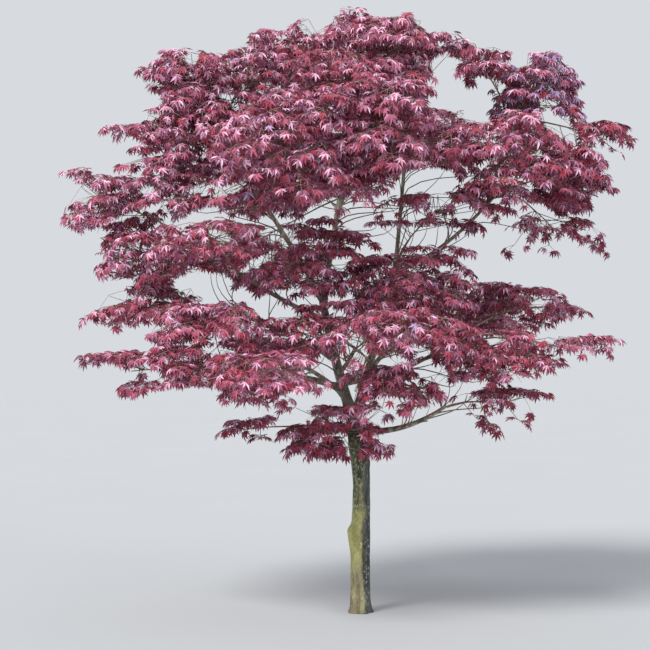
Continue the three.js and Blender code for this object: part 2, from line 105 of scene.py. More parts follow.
# The masses of foliage: name, what carries each and how far along it, or None at its tip, its heart, and
# half of its width, depth and height
MASSES = [
    ("low_centre", "trunk", 0.86, (-150, -190, 1100), (330, 260, 165)),
    ("low_left", "trunk", 0.93, (-645, -250, 1100), (135, 135, 95)),
    ("left_low_inner", "left_low", None, (-520, -830, 1405), (365, 380, 158)),
    ("left_low_middle", "left_low", None, (-970, -480, 1465), (290, 320, 150)),
    ("left_low_tip", "left_low", None, (-1280, -240, 1440), (310, 300, 130)),
    ("right_low", "right_low", None, (835, -250, 1235), (265, 280, 115)),
    ("left_middle", "left_mid", None, (-850, -430, 1690), (410, 360, 165)),
    ("left_shelf", "left_mid", None, (-1300, 150, 1812), (355, 380, 178)),
    ("front_low", "front", None, (170, -520, 1325), (300, 260, 150)),
    ("front_right", "front", None, (175, -800, 1630), (390, 350, 160)),
    ("front_left", "front", None, (-340, -430, 1655), (270, 260, 120)),
    ("right_middle", "right_mid", None, (720, -400, 1525), (390, 360, 180)),
    ("right_middle_tip", "right_mid", None, (1230, -120, 1555), (300, 300, 105)),
    ("right_shelf", "right_mid", None, (1000, 330, 1835), (390, 400, 150)),
    ("back_right", "back_right", None, (430, 1000, 1780), (440, 380, 270)),
    ("back_left_low", "back_left", None, (-640, 860, 1480), (400, 380, 190)),
    ("centre_left", "leader", None, (-290, -330, 2085), (340, 300, 225)),
    ("centre_right", "right_leader", None, (260, -420, 1950), (440, 320, 185)),
    ("right_inner", "right_leader", None, (440, -200, 2380), (400, 270, 110)),
    ("left_outer", "left_outer", None, (-1320, 60, 2115), (335, 400, 185)),
    ("left_inner", "left_outer", None, (-860, -450, 2155), (340, 350, 170)),
    ("left_far", "left_outer", None, (-1530, 60, 2465), (300, 340, 170)),
    ("left_upper_inner", "upper_left", None, (-1090, -200, 2545), (310, 330, 190)),
    ("upper_left", "upper_left", None, (-950, -180, 2820), (400, 380, 200)),
    ("centre_front", "centre", None, (-375, -900, 2650), (450, 420, 340)),
    ("top_centre", "centre", None, (-80, 230, 3390), (340, 450, 260)),
    ("centre_heart", "centre", None, (-120, -480, 3060), (330, 340, 230)),
    ("top_left", "left_crown", None, (-530, 120, 3250), (380, 440, 265)),
    ("centre_upper", "right_top", None, (110, -860, 2755), (290, 410, 320)),
    ("top_right", "right_top", None, (205, -120, 3310), (275, 400, 265)),
    ("right_shoulder", "right_top", None, (690, -280, 2720), (300, 310, 150)),
    ("right_outer", "right_outer", None, (1285, 60, 2600), (220, 360, 190)),
    ("right_under", "right_outer", None, (1240, 420, 2280), (350, 360, 115)),
    ("right_upper", "right_outer", None, (940, -260, 2700), (400, 380, 270)),
    ("right_top", "right_crown", None, (1085, 120, 3140), (265, 380, 255)),
    ("right_top_lobe", "right_crown", None, (735, 90, 3320), (255, 320, 115)),
    ("right_tip", "right_crown", None, (1430, -20, 2825), (230, 230, 110)),
    ("back_upper_left", "back_upper", None, (-560, 850, 2760), (440, 450, 310)),
    ("back_upper_right", "back_upper", None, (400, 850, 2950), (450, 450, 235)),
    ("back_middle_left", "back_upper", None, (-760, 880, 2190), (420, 420, 205)),
    ("upper_left_tip", "left_crown", None, (-1005, -80, 3130), (265, 400, 220)),
    ("left_tip_upper", "left_crown", None, (-1355, 40, 2855), (180, 200, 75)),
]

# Where the tree is seen from
VIEWPOINT = np.array([-210.0, -9000.0, 1500.0])

# Openings in the foliage along lines of sight from there, as ellipses at the trunk's own depth: middle,
# half width, half height, and how many degrees each rises to the right
OPENINGS = np.array([
    (-1730, 2510, 150, 70, 0),
    (-1290, 3075, 110, 60, 0),
    (-1010, 3330, 60, 50, 30),
    (-800, 3095, 60, 26, 0),
    (-1350, 2960, 190, 32, 10),
    (-1400, 2810, 80, 30, 10),
    (-1400, 2695, 110, 26, 0),
    (-1285, 2525, 60, 36, 0),
    (-1340, 2390, 200, 30, 20),
    (-1600, 2240, 85, 55, 0),
    (-1580, 2110, 70, 34, 0),
    (-780, 2535, 140, 36, 22),
    (-950, 2535, 100, 30, 10),
    (-985, 2365, 160, 45, 25),
    (-840, 2250, 90, 42, -20),
    (-490, 2265, 120, 45, 0),
    (-430, 2215, 80, 32, 0),
    (-610, 2095, 150, 35, 30),
    (-940, 1965, 190, 78, 0),
    (-1580, 1895, 170, 95, 0),
    (-1430, 1965, 90, 38, 0),
    (-470, 1900, 120, 30, 15),
    (-500, 1785, 150, 36, -5),
    (-1260, 1685, 100, 35, 10),
    (-1570, 1670, 110, 50, 0),
    (-850, 1560, 120, 32, 0),
    (-1520, 1400, 100, 95, 0),
    (-1350, 1440, 110, 30, 18),
    (-1080, 1300, 260, 48, 5),
    (-380, 1290, 110, 28, 5),
    (-680, 1190, 130, 50, 0),
    (-370, 1165, 100, 42, 0),
    (-340, 1215, 80, 26, 0),
    (-590, 1000, 85, 30, 0),
    (-40, 1010, 60, 100, 0),
    (140, 1030, 50, 48, 0),
    (-300, 1425, 50, 58, 0),
    (-210, 1430, 90, 75, 0),
    (-60, 1300, 65, 85, 0),
    (-20, 1590, 72, 85, 0),
    (-140, 2080, 70, 45, 0),
    (150, 1510, 150, 32, -5),
    (370, 1555, 80, 34, -30),
    (430, 1430, 120, 60, -25),
    (620, 1340, 140, 48, 10),
    (660, 1275, 100, 28, -20),
    (655, 1150, 60, 34, 0),
    (915, 1100, 80, 58, 0),
    (410, 1185, 110, 50, 0),
    (165, 1265, 120, 30, 0),
    (130, 1190, 110, 36, 10),
    (1000, 1370, 130, 38, 0),
    (1000, 1240, 130, 48, -20),
    (410, 2600, 180, 75, 0),
    (480, 2470, 80, 55, 0),
    (230, 2415, 110, 36, 0),
    (300, 2288, 380, 33, 0),
    (-180, 2440, 150, 45, 15),
    (1095, 2400, 95, 45, -30),
    (1150, 2335, 100, 34, 10),
    (1440, 2300, 60, 42, 0),
    (1230, 2180, 170, 36, -5),
    (930, 2220, 80, 80, 0),
    (1450, 2465, 80, 55, 0),
    (1200, 2915, 150, 65, -35),
    (1140, 3060, 80, 28, -10),
    (1265, 3330, 50, 50, 0),
    (1500, 2740, 120, 32, -20),
    (500, 3275, 85, 80, 0),
    (780, 3170, 110, 45, -15),
    (690, 2965, 120, 34, -12),
    (-770, 3430, 120, 60, 20),
    (-290, 3520, 85, 65, 0),
    (-170, 3590, 80, 32, 20),
    (170, 3600, 120, 36, 0),
    (400, 3560, 110, 62, -30),
    (810, 3405, 160, 46, -5),
    (975, 3320, 70, 55, 0),
    (1130, 1645, 105, 42, 0),
    (1230, 1665, 90, 34, -10),
    (800, 1630, 90, 26, -5),
    (1060, 1960, 110, 28, 0),
    (1065, 1830, 50, 50, 0),
])

# Hubs of the single sprays that stand out of each mass
LOOSE_SPRAYS = dict(
    left_far=[(-1690, 20, 2645)],
    top_centre=[(-60, 230, 3665)],
    top_right=[(480, -100, 3450), (590, -100, 3395)],
    upper_left_tip=[(-1240, -80, 3240), (-1100, -80, 3350)],
    left_upper_inner=[(-1290, -100, 2770), (-1050, -250, 2700), (-950, -250, 2640), (-1030, -320, 2600)],
    centre_left=[(-220, -300, 2320)],
    centre_upper=[(95, -500, 2500)],
    right_inner=[(640, -250, 2490), (820, -250, 2400)],
    right_upper=[(930, -300, 2450)],
    right_outer=[(1480, 0, 2560)],
    right_under=[(1470, 350, 2230), (1300, 300, 2390)],
    centre_right=[(570, -350, 2150), (330, -400, 2150)],
    right_shelf=[(1290, 200, 1840), (800, 150, 1975)],
    right_middle_tip=[(1440, -120, 1640)],
    right_low=[(745, -280, 1130)],
    front_left=[(-90, -420, 1830), (-290, -430, 1810)],
    front_right=[(-110, -600, 1830)],
    left_shelf=[(-1580, 100, 1800)],
    left_low_tip=[(-1530, -240, 1535)],
    low_left=[(-770, -250, 1100)],
    low_centre=[(-190, -260, 1000)],
)

# Stems, twigs and sprays, as in the frame
STEM = dict(sides=4, steps=3, radii=(7, 6.5), apart=7.5, clear=0.36, straight=0.3, beyond=0.5, arch=0.25)
TWIG = dict(radius=3.4, first=0.12, last=0.96, places=31, back=0.4, rise=0.36, steepest=1.2)
SHORTEST_TWIG = 0.2
SPRAY_RIM = [
    (0, 1, 0.42),
    (36, 0.56, 0.1),
    (70, 0.92, 0.4),
    (106, 0.52, 0.1),
    (142, 0.82, 0.34),
    (180, 0.46, 0.05),
]
SPRAY_TOP = 0.045
SPRAY_VARIETY = dict(bearing=4, reach=0.1)
SPRAY_LENGTH = dict(most=250, least=160, share=0.72)
SPRAY_SIZES = [1, 0.85, 0.7]
SPRAY_TILT = 0.7
SPREAD = dict(storeys=(0.8, -0.1), storey=0.1, turn=0.35, dome=0.35, inset=0.6, over=1.08)
SPRAYS_PER_AREA = 2.8
USUAL_HEIGHT = 160
TRIES_PER_SPRAY = 18

# Finer sprays between the frame's own, with storeys in millimetres, other sizes as shares of the mass or of
# its sprays, and angles in radians
FINER = dict(length=0.6, variety=0.3, highest=0.8, lowest=-0.72, storey=118, places=7.5, apart=0.66,
             over=1.3, tilt=0.25, lean=0.5, dome=0.25, hang=0.35, inset=0.35)

# Seeds of the sprays, and where in its sequence each kind of chance starts
SEEDS_PER_MASS = 100
FINER_SEEDS_PER_MASS = 10000
LOOSE_SEED = 700
REACH_DRAW = 20
LENGTH_DRAW = 40
MOOD_DRAW = 50
SWAY_DRAW = 50

# How finely the bark is rounded, and its relief
TRUNK_ROUND = dict(sides=72, steps=260)
BOUGH_ROUND = dict(sides=20, step=16)
BARK_RELIEF = dict(trunk=1.6, bough=0.9)
FURROWS = dict(width=16, length=95, roughness=0.9, finer=2.1, octaves=3)
WRINKLES = dict(width=40, length=7, share=0.3)
LUMPS = dict(size=60, aside=9, share=0.9)
COLLAR = dict(swell=0.45, reach=45)  # how much a bough widens where it leaves its parent, and how far along

# Stems and twigs without leaves, whose radii run from foot to tip
STEM_LINE = dict(points=13, tip=3.0)
SPRAY_TWIG = (2.9, 2.3, 1.8)
SIDE_TWIG = dict(first=0.25, every=55, least=140, most=620, middling=0.4, straight=0.3, sink=60, sway=0.35,
                 ahead=0.4, below=0.3, thickest=5.5, of_bough=0.4, tip=1.6, points=9)

# Leafy shoots, with their reach and hang as shares of the spray's rim. Pairs of leaves start at a step, the
# last pair stays clear of the rim by leaf lengths, and each leaf is spread from the shoot by radians.
SHOOT = dict(radius=(1.7, 0.7), sides=3, steps=3, sag=1.5, reach=0.97, drawn=0.8, hang=0.62)
PAIRS = dict(step=40, fewest=2, least=0.35, clear=1.15, ahead=0.02,
             spread=(0.7, 1.25), last_spread=(0.45, 0.9))
FEWEST_SHOOTS = 2  # a spray with fewer shoots outside the openings is left out
FEWEST_LEAVES = 0.34  # a shoot with a smaller share of its leaves outside the openings is left out

# A leaf's length from its middle to its tip, and the ways in which leaves differ, with angles in radians
LEAF_LENGTH = 47
LEAF_VARIETY = 0.22
LEAF_TURN = 0.12
LEAF_ROLL = 0.28
DROOP = dict(mean=0.34, spread=0.28, least=0.05, most=1.35)
SPRAY_LEAN = 0.5  # how much a leaf follows the lean of its spray
LEAF_MIDDLE = dict(ahead=0.85, off=0.2)  # from its node, as shares of its length


def unit(v):
    return v / np.linalg.norm(v)


def mix(a, b, share):
    return a + (b - a) * share


def clamp(value, least, most):
    return max(least, min(most, value))


def chance(seed, place):
    """A repeatable number from -1 to 1 for a seed and a place in its sequence."""
    word = 0xFFFFFFFF
    h = (seed * 0x9E3779B1 & word) ^ ((place + 1) * 0x85EBCA6B & word)
    h = (h ^ h >> 15) * 0x2C1B3C6D & word
    h = (h ^ h >> 12) * 0x297A2D39 & word
    return (h ^ h >> 15) / 2**31 - 1


def along(values, share):
    """The value at a share of the way through evenly spaced values."""
    place = share * (len(values) - 1)
    before = min(int(place), len(values) - 2)
    return mix(values[before], values[before + 1], place - before)


class Bezier:
    """A curve through its first and last points, pulled towards those between."""

    def __init__(self, *points):
        self.points = [np.array(p, float) for p in points]

    def narrowed(self, t, count):
        """The curve's points mixed with their neighbours until this many are left."""
        points = self.points
        while len(points) > count:
            points = [mix(a, b, t) for a, b in zip(points, points[1:])]
        return points

    def point(self, t):
        return self.narrowed(t, 1)[0]

    def heading(self, t):
        before, after = self.narrowed(t, 2)
        return unit(after - before)


class TrunkCurve:
    """A smooth curve through all of its points, which share its length evenly."""

    def __init__(self, points):
        self.points = [np.array(p, float) for p in points]

    def point(self, t):
        line = self.points
        place = t * (len(line) - 1)
        i = min(int(place), len(line) - 2)
        t = place - i
        before = line[i - 1] if i > 0 else 2 * line[0] - line[1]
        after = line[i + 2] if i + 2 < len(line) else 2 * line[-1] - line[-2]
        a, b = (line[i + 1] - before) / 2, (after - line[i]) / 2
        rise = line[i + 1] - line[i]
        return line[i] + t * a + t * t * (3 * rise - 2 * a - b) + t**3 * (a + b - 2 * rise)


# Tubes


def ring_frames(headings):
    """The directions over and across a curve at each of its rings, carried along it without a twist."""
    over = BACK if abs(headings[0][2]) > STEEP else UP
    frames = []
    for ahead in headings:
        over = unit(over - np.dot(over, ahead) * ahead)
        frames.append((over, np.cross(over, ahead)))
    return frames


def carried_frames(curve, steps):
    """The ring directions of a curve at its steps, worked out over finer ones."""
    fine = [curve.heading(k / (steps * CARRY_STEPS)) for k in range(steps * CARRY_STEPS + 1)]
    return ring_frames(fine)[::CARRY_STEPS]


def tube_faces(sides, rings):
    """Triangles of a tube of rings, with a fan on each end round a point of its own."""
    ring, side = np.meshgrid(np.arange(rings - 1), np.arange(sides), indexing="ij")
    ring, side = ring.ravel(), side.ravel()
    a, b = ring * sides + side, ring * sides + (side + 1) % sides
    c, d = a + sides, b + sides
    foot, tip = sides * rings, sides * rings + 1
    k = np.arange(sides)
    first = np.stack([np.full(sides, foot), k, (k + 1) % sides], 1)
    start = sides * (rings - 1)
    last = np.stack([np.full(sides, tip), start + (k + 1) % sides, start + k], 1)
    return np.concatenate([np.stack([a, c, b], 1), np.stack([b, c, d], 1), first, last])


def tube_points(centres, frames, radii, sides):
    """Rings of points round a line, then the middles of its two ends."""
    turn = 2 * math.pi * np.arange(sides) / sides
    over = np.array([f[0] for f in frames])[:, None]
    across = np.array([f[1] for f in frames])[:, None]
    rings = across * np.sin(turn)[None, :, None] + over * np.cos(turn)[None, :, None]
    rings = centres[:, None] + rings * np.array(radii)[:, None, None]
    return np.concatenate([rings.reshape(-1, 3), centres[:1], centres[-1:]])


def plain_tube(curve, radii, sides, steps, growth):
    """The frame's own faceted tube, made wider and longer by a growth."""
    centres = []
    for step in range(steps + 1):
        place = curve.point(step / steps)
        within = curve.point(clamp(step, 1, steps - 1) / steps)
        if step in (0, steps):
            place = place + growth * unit(place - within)
        centres.append(place)
    girths = [mix(radii[0], radii[1], step / steps) + growth for step in range(steps + 1)]
    points = tube_points(np.array(centres), carried_frames(curve, steps), girths, sides)
    return Solid(points, tube_faces(sides, steps + 1))


class Solid:
    """A closed mesh that others are kept clear of."""

    def __init__(self, points, faces):
        self.points, self.faces = points, faces
        self.low, self.high = points.min(0), points.max(0)
        self.tree = BVHTree.FromPolygons(points.tolist(), faces.tolist(), all_triangles=True)

    def meets(self, other):
        near = np.all(self.low <= other.high) and np.all(other.low <= self.high)
        return bool(near) and bool(self.tree.overlap(other.tree))


# The trunk and the boughs


def swelling(shape, z, angle):
    """How far a lump such as the burl stands out of the trunk at a height and angle."""
    turn = np.sin((angle - math.radians(shape["bearing"])) / 2) / shape["width"]
    rise = (z - shape["height"]) / (shape["above"] if z > shape["height"] else shape["below"])
    return shape["swell"] * np.exp(-rise * rise - turn * turn)


def trunk_radius(share, z, angle):
    """The trunk's radius at a share of its way up, with its root flare, burl and knot."""
    buttress = 1 + ROOT_FLARE["relief"] * np.cos(ROOT_FLARE["buttresses"] * angle)
    flare = ROOT_FLARE["spread"] * math.exp(-z / ROOT_FLARE["height"]) * buttress
    return along(TRUNK_GIRTH, share) + flare + swelling(BURL, z, angle) + swelling(PRUNING_KNOT, z, angle)


def trunk_rings(curve, sides, steps, growth):
    angles = 2 * math.pi * np.arange(sides) / sides
    rings = []
    for step in range(steps + 1):
        centre = curve.point(step / steps)
        reach = trunk_radius(step / steps, centre[2], angles) + growth
        centre = centre + UP * (growth if step == steps else 0)
        rings.append(centre + np.stack([reach * np.cos(angles), reach * np.sin(angles), 0 * angles], 1))
    return np.array(rings)


def closed_rings(rings):
    """The rings' points, then the middles of the first and last ring."""
    ends = np.stack([rings[0].mean(0), rings[-1].mean(0)])
    return np.concatenate([rings.reshape(-1, 3), ends])


def bark_rise(place):
    """How far the trunk's bark stands out: long furrows, with small wrinkles across them, and lumps."""
    x, y, z = place
    width, length, size = FURROWS["width"], FURROWS["length"], LUMPS["size"]
    fine = FURROWS["roughness"], FURROWS["finer"], FURROWS["octaves"]
    furrow = noise.fractal(Vector((x / width, y / width, z / length)), *fine)
    width, length = WRINKLES["width"], WRINKLES["length"]
    wrinkle = noise.noise(Vector((x / width, y / width, z / length)))
    lump = noise.noise(Vector((x / size + LUMPS["aside"], y / size, z / size)))
    return BARK_RELIEF["trunk"] * (furrow + WRINKLES["share"] * wrinkle + LUMPS["share"] * lump)


def with_bark(rings):
    """The trunk's rings with each point moved out, and kept at its height."""
    for ring, centre in zip(rings, rings.mean(1)):
        for k, place in enumerate(ring):
            outward = unit(place - centre) * (1, 1, 0)
            ring[k] = place + outward * bark_rise(place)
    return rings


def trunk_piece(curve):
    sides, steps = TRUNK_ROUND["sides"], TRUNK_ROUND["steps"]
    rings = with_bark(trunk_rings(curve, sides, steps, 0))
    return closed_rings(rings), tube_faces(sides, steps + 1)[:, ::-1]


def bough_line(limb):
    """A bough's middle line and radii: tapering, and widened into a collar where it leaves its parent."""
    curve, (foot, tip) = limb["curve"], limb["radii"]
    length = np.linalg.norm(curve.point(1) - curve.point(0))
    shares = np.linspace(0, 1, int(length / BOUGH_ROUND["step"]) + 1)
    past_bark = np.maximum(0, shares * length - limb["parent_radius"])
    collar = COLLAR["swell"] * np.exp(-((past_bark / COLLAR["reach"]) ** 2))
    return np.array([curve.point(t) for t in shares]), mix(foot, tip, shares) * (1 + collar)


def grow_limbs():
    """Every limb's curve, and its solid grown by the gap."""
    curve = TrunkCurve(TRUNK_LINE)
    rings = trunk_rings(curve, TRUNK_SIDES, TRUNK_STEPS, GAP)
    grown = Solid(closed_rings(rings), tube_faces(TRUNK_SIDES, TRUNK_STEPS + 1))
    limbs = {"trunk": dict(curve=curve, grown=grown, radii=(TRUNK_GIRTH[0], TRUNK_GIRTH[-1]))}
    for name, on, at, tip, radii, (upwards, backwards) in BOUGHS:
        foot, tip = limbs[on]["curve"].point(at), np.array(tip, float)
        middle = (foot + tip) / 2 + np.array([0, 2 * backwards, 2 * upwards])
        curve = Bezier(foot, middle, tip)
        steps = max(FEWEST_STEPS, int(np.linalg.norm(tip - foot) / BOUGH_STEP + 0.5))
        grown = plain_tube(curve, radii, BOUGH_SIDES, steps, GAP)
        parent_radius = mix(*limbs[on]["radii"], at)
        limbs[name] = dict(curve=curve, grown=grown, radii=radii, parent_radius=parent_radius)
    return limbs


# The masses of foliage, by the frame's rule


class Mass:
    """A mass of foliage: what carries it, the space round its heart that it fills, and its sprays."""

    def __init__(self, index, name, on, at, heart, half):
        self.name, self.on, self.at, self.seed = name, on, at, SEED + index
        self.heart, self.half = np.array(heart, float), np.array(half, float)
        size = SPRAY_LENGTH["share"] * min(half[0], half[1])
        self.spray_length = clamp(size, SPRAY_LENGTH["least"], SPRAY_LENGTH["most"])
        self.sprays = []

    def wanted(self):
        """How many of the frame's sprays the mass may have."""
        width, depth, height = self.half
        area = width * depth / self.spray_length**2
        return int(SPRAYS_PER_AREA * area * math.sqrt(height / USUAL_HEIGHT) + 0.5)


def depths(masses, points):
    """How far each point lies from the heart of each mass, where 1 is the mass's outer surface."""
    hearts = np.array([m.heart for m in masses])
    halves = np.array([m.half for m in masses])
    shares = np.abs(points[:, None] - hearts) / halves
    return np.cbrt((shares**3).sum(-1))


def in_own_space(masses, mass, points):
    """Whether points lie in a mass's reach and no deeper in any other mass."""
    depth = depths(masses, points)
    own = depth[:, masses.index(mass)]
    return bool(np.all(own <= SPREAD["over"]) and np.all(depth >= own[:, None]))


def place_round_tip(masses, mass, tip, side, over):
    """The angle round a shared tip at which a mass's stem starts, in the order of the masses' hearts."""

    def bearing(other):
        aim = other.heart - tip
        return math.atan2(aim @ over, aim @ side)

    sharing = sorted((m for m in masses if m.on == mass.on and not m.at), key=bearing)
    step = 2 * math.pi / len(sharing)
    slack = [bearing(other) - k * step for k, other in enumerate(sharing)]
    turn = math.atan2(sum(map(math.sin, slack)), sum(map(math.cos, slack)))
    return turn + step * sharing.index(mass)


def stem_curve(masses, mass, limbs):
    """A mass's stem, from its bough's tip or the trunk to beyond its heart."""
    curve = limbs[mass.on]["curve"]
    tip = curve.point(mass.at or 1)
    ahead = unit(mass.heart - tip) if mass.at else curve.heading(1)
    side = unit(np.cross(UP, ahead))
    over = np.cross(ahead, side)
    foot = tip.copy()
    if not mass.at:
        turn = place_round_tip(masses, mass, tip, side, over)
        foot += ahead * STEM["clear"]
        foot += STEM["apart"] * (math.cos(turn) * side + math.sin(turn) * over)
    beyond = (mass.heart - foot) * (1, 1, 0)
    beyond = unit(beyond) * STEM["beyond"] * min(mass.half)
    first = foot + ahead * STEM["straight"] * np.linalg.norm(mass.heart - foot)
    last = mass.heart - STEM["straight"] * beyond + UP * STEM["arch"] * mass.half[2]
    return Bezier(foot, first, last, mass.heart + beyond)


def place_in_stem(stem, share):
    """A place on the straight stretches of a stem."""
    steps = STEM["steps"]
    stretch = min(int(share * steps), steps - 1)
    return mix(stem.point(stretch / steps), stem.point((stretch + 1) / steps), share * steps - stretch)


def twig_foot(mass, hub):
    """Where on the stem the twig to a hub starts: the place nearest to the hub, and some way back."""
    gaps = np.linalg.norm(mass.twig_places - hub, axis=1)
    nearest = int(np.argmin(gaps))
    share = TWIG["first"] + nearest * (TWIG["last"] - TWIG["first"]) / (TWIG["places"] - 1)
    span = np.linalg.norm(mass.stem.point(1) - mass.stem.point(0))
    return place_in_stem(mass.stem, max(TWIG["first"], share - TWIG["back"] * gaps[nearest] / span))


def hub_at(mass, index, places, length, rule=SPREAD):
    """A place in a mass for a spray's hub, in turns outwards and by storeys, and how far out it is."""
    turn = index * GOLDEN_ANGLE + SPREAD["turn"] * chance(mass.seed, 4 * index)
    spread = math.sqrt((index + 0.5) / places)
    storey = rule["storeys"][index % len(rule["storeys"])]
    storey += SPREAD["storey"] * chance(mass.seed, 4 * index + 1)
    room = np.maximum(0, mass.half[:2] - rule["inset"] * length) * spread
    rise = mass.half[2] * storey * (1 - rule["dome"] * spread * spread)
    return mass.heart + np.array([room[0] * math.cos(turn), room[1] * math.sin(turn), rise]), spread


class Spray:
    """A drooping star of shoots round a hub: its place, the ways that it faces, and the lobes of its rim."""

    def __init__(self, hub, foot, out, up, length, seed, hang=1):
        self.hub, self.foot, self.up, self.length, self.seed = hub, foot, up, length, seed
        self.across = unit(np.cross(up, out))
        self.ahead = np.cross(self.across, up)
        mirrored = [(-bearing, reach, droop) for bearing, reach, droop in SPRAY_RIM[-2:0:-1]]
        self.rim = []
        for k, (bearing, reach, droop) in enumerate(SPRAY_RIM + mirrored):
            turn = math.radians(bearing + SPRAY_VARIETY["bearing"] * chance(seed, k))
            far = reach * (1 + SPRAY_VARIETY["reach"] * chance(seed, k + REACH_DRAW))
            self.rim.append((turn, far, hang * droop))

    def at(self, turn, far, rise):
        level = math.cos(turn) * self.ahead + math.sin(turn) * self.across
        return self.hub + self.length * (far * level + rise * self.up)

    def rim_points(self):
        return np.array([self.at(turn, far, -droop) for turn, far, droop in self.rim])

    def solid(self):
        """The frame's own form of the whole spray, closed, on its twig."""
        collar = triangle_round(self.hub, self.up, self.ahead, TWIG["radius"])
        base = triangle_round(self.foot, unit(self.hub - self.foot), self.ahead, TWIG["radius"])
        points = [*self.rim_points(), self.at(0, 0, SPRAY_TOP), *collar, *base]
        return Solid(np.array(points), SPRAY_FACES)


def triangle_round(place, direction, side, radius):
    """Three points round a place, square to a direction."""
    first = unit(side - (side @ direction) * direction)
    second = np.cross(direction, first)
    turns = [k * 2 * math.pi / 3 for k in range(3)]
    return [place + radius * (math.cos(t) * first + math.sin(t) * second) for t in turns]


def spray_faces():
    """Triangles of a spray's form: its upper and under sides, its twig and the twig's end."""
    n = 2 * len(SPRAY_RIM) - 2
    top, collar, base = n, n + 1, n + 4
    nearest = [int(k / n * 3 + 0.5) % 3 for k in range(n)]
    faces = []
    for i in range(n):
        after = (i + 1) % n
        faces += [(i, after, top), (after, i, collar + nearest[i])]
        if nearest[i] != nearest[after]:
            faces.append((after, collar + nearest[i], collar + nearest[after]))
    for k in range(3):
        after = (k + 1) % 3
        faces += [(collar + k, base + after, collar + after), (collar + k, base + k, base + after)]
    return np.array(faces + [(base, base + 2, base + 1)])


SPRAY_FACES = spray_faces()


def spray_towards(mass, hub, tilt, length, seed, finer=False):
    """A spray at a hub, on a twig from its mass's stem, or None where that twig is too short or steep."""
    foot = twig_foot(mass, hub)
    heading = hub - foot
    rise = math.atan2(heading[2], math.hypot(heading[0], heading[1]))
    lean = max(tilt, TWIG["rise"] - rise)
    too_steep = max(rise, lean) > TWIG["steepest"] and not finer
    if np.linalg.norm(heading) < SHORTEST_TWIG * length or too_steep:
        return None
    if finer:
        lean = min(lean, FINER["lean"])
    out = unit(heading * (1, 1, 0))
    up = out * math.sin(lean) + UP * math.cos(lean)
    return Spray(hub, foot, out, up, length, seed, FINER["hang"] if finer else 1)


def spray_at(masses, mass, index, places, obstacles):
    """One of the frame's own sprays, with its form, as large as its place allows, or None."""
    for size in SPRAY_SIZES:
        length = size * mass.spray_length
        hub, spread = hub_at(mass, index, places, length)
        seed = mass.seed * SEEDS_PER_MASS + index
        spray = spray_towards(mass, hub, SPRAY_TILT * spread, length, seed)
        if spray and in_own_space(masses, mass, spray.rim_points()):
            solid = spray.solid()
            if not any(solid.meets(other) for other in obstacles):
                return spray, solid
    return None


def out_of_frame(spray):
    """Whether a spray's rim is past the sides of the frame's own crown."""
    rim = spray.rim_points() * MM
    low, high = np.array(CAD_BOUNDS)
    return bool((rim < low).any() or (rim > high).any())


def fill_out(masses, mass):
    """Finer sprays between a mass's own, within the same reach."""
    length = FINER["length"] * mass.spray_length
    storeys = max(2, round(2 * mass.half[2] / FINER["storey"]))
    rule = dict(FINER, storeys=np.linspace(FINER["highest"], FINER["lowest"], storeys))
    places = int(FINER["places"] * mass.half[0] * mass.half[1] * mass.half[2] / length**3)
    hubs = [spray.hub for spray in mass.sprays]
    for index in range(places - 1, -1, -1):
        hub, spread = hub_at(mass, index, places, length, rule)
        if hubs and np.linalg.norm(np.array(hubs) - hub, axis=1).min() < FINER["apart"] * length:
            continue
        seed = mass.seed * FINER_SEEDS_PER_MASS + index
        reach = length * (1 + FINER["variety"] * chance(seed, LENGTH_DRAW))
        spray = spray_towards(mass, hub, FINER["tilt"] * spread, reach, seed, finer=True)
        if not spray or depths([mass], spray.rim_points()).max() > FINER["over"] or out_of_frame(spray):
            continue
        if in_own_space(masses, mass, hub[None]):
            mass.sprays.append(spray)
            hubs.append(hub)


def own_sprays(masses, mass, obstacles):
    """The forms of the frame's own sprays of a mass, which are placed from the outside inwards."""
    wanted = mass.wanted()
    places = wanted * TRIES_PER_SPRAY
    forms = []
    for place in range(places - 1, -1, -1):
        if len(forms) == wanted:
            break
        found = spray_at(masses, mass, place, places, obstacles + forms)
        if found:
            mass.sprays.append(found[0])
            forms.append(found[1])
    return forms


def add_loose_sprays(masses):
    """The single sprays, each level and of a finer spray's size."""
    by_name = {mass.name: mass for mass in masses}
    places = [(by_name[name], hub) for name, hubs in LOOSE_SPRAYS.items() for hub in hubs]
    for number, (mass, hub) in enumerate(places):
        hub, length = np.array(hub, float), FINER["length"] * mass.spray_length
        mass.sprays.append(spray_towards(mass, hub, 0, length, LOOSE_SEED + number, finer=True))


def grow_masses(limbs):
    """Every mass with its stem and sprays, kept clear of the limbs, stems and sprays before it."""
    masses = [Mass(index, *row) for index, row in enumerate(MASSES)]
    standing = [limb["grown"] for limb in limbs.values()]
    stems = []
    for mass in masses:
        mass.stem = stem_curve(masses, mass, limbs)
        shares = np.linspace(TWIG["first"], TWIG["last"], TWIG["places"])
        mass.twig_places = np.array([place_in_stem(mass.stem, share) for share in shares])
        stems.append(plain_tube(mass.stem, STEM["radii"], STEM["sides"], STEM["steps"], GAP))
    placed = []
    for index, mass in enumerate(masses):
        placed += own_sprays(masses, mass, standing + stems[:index] + stems[index + 1:] + placed)
    for mass in masses:
        fill_out(masses, mass)
    add_loose_sprays(masses)
    return masses


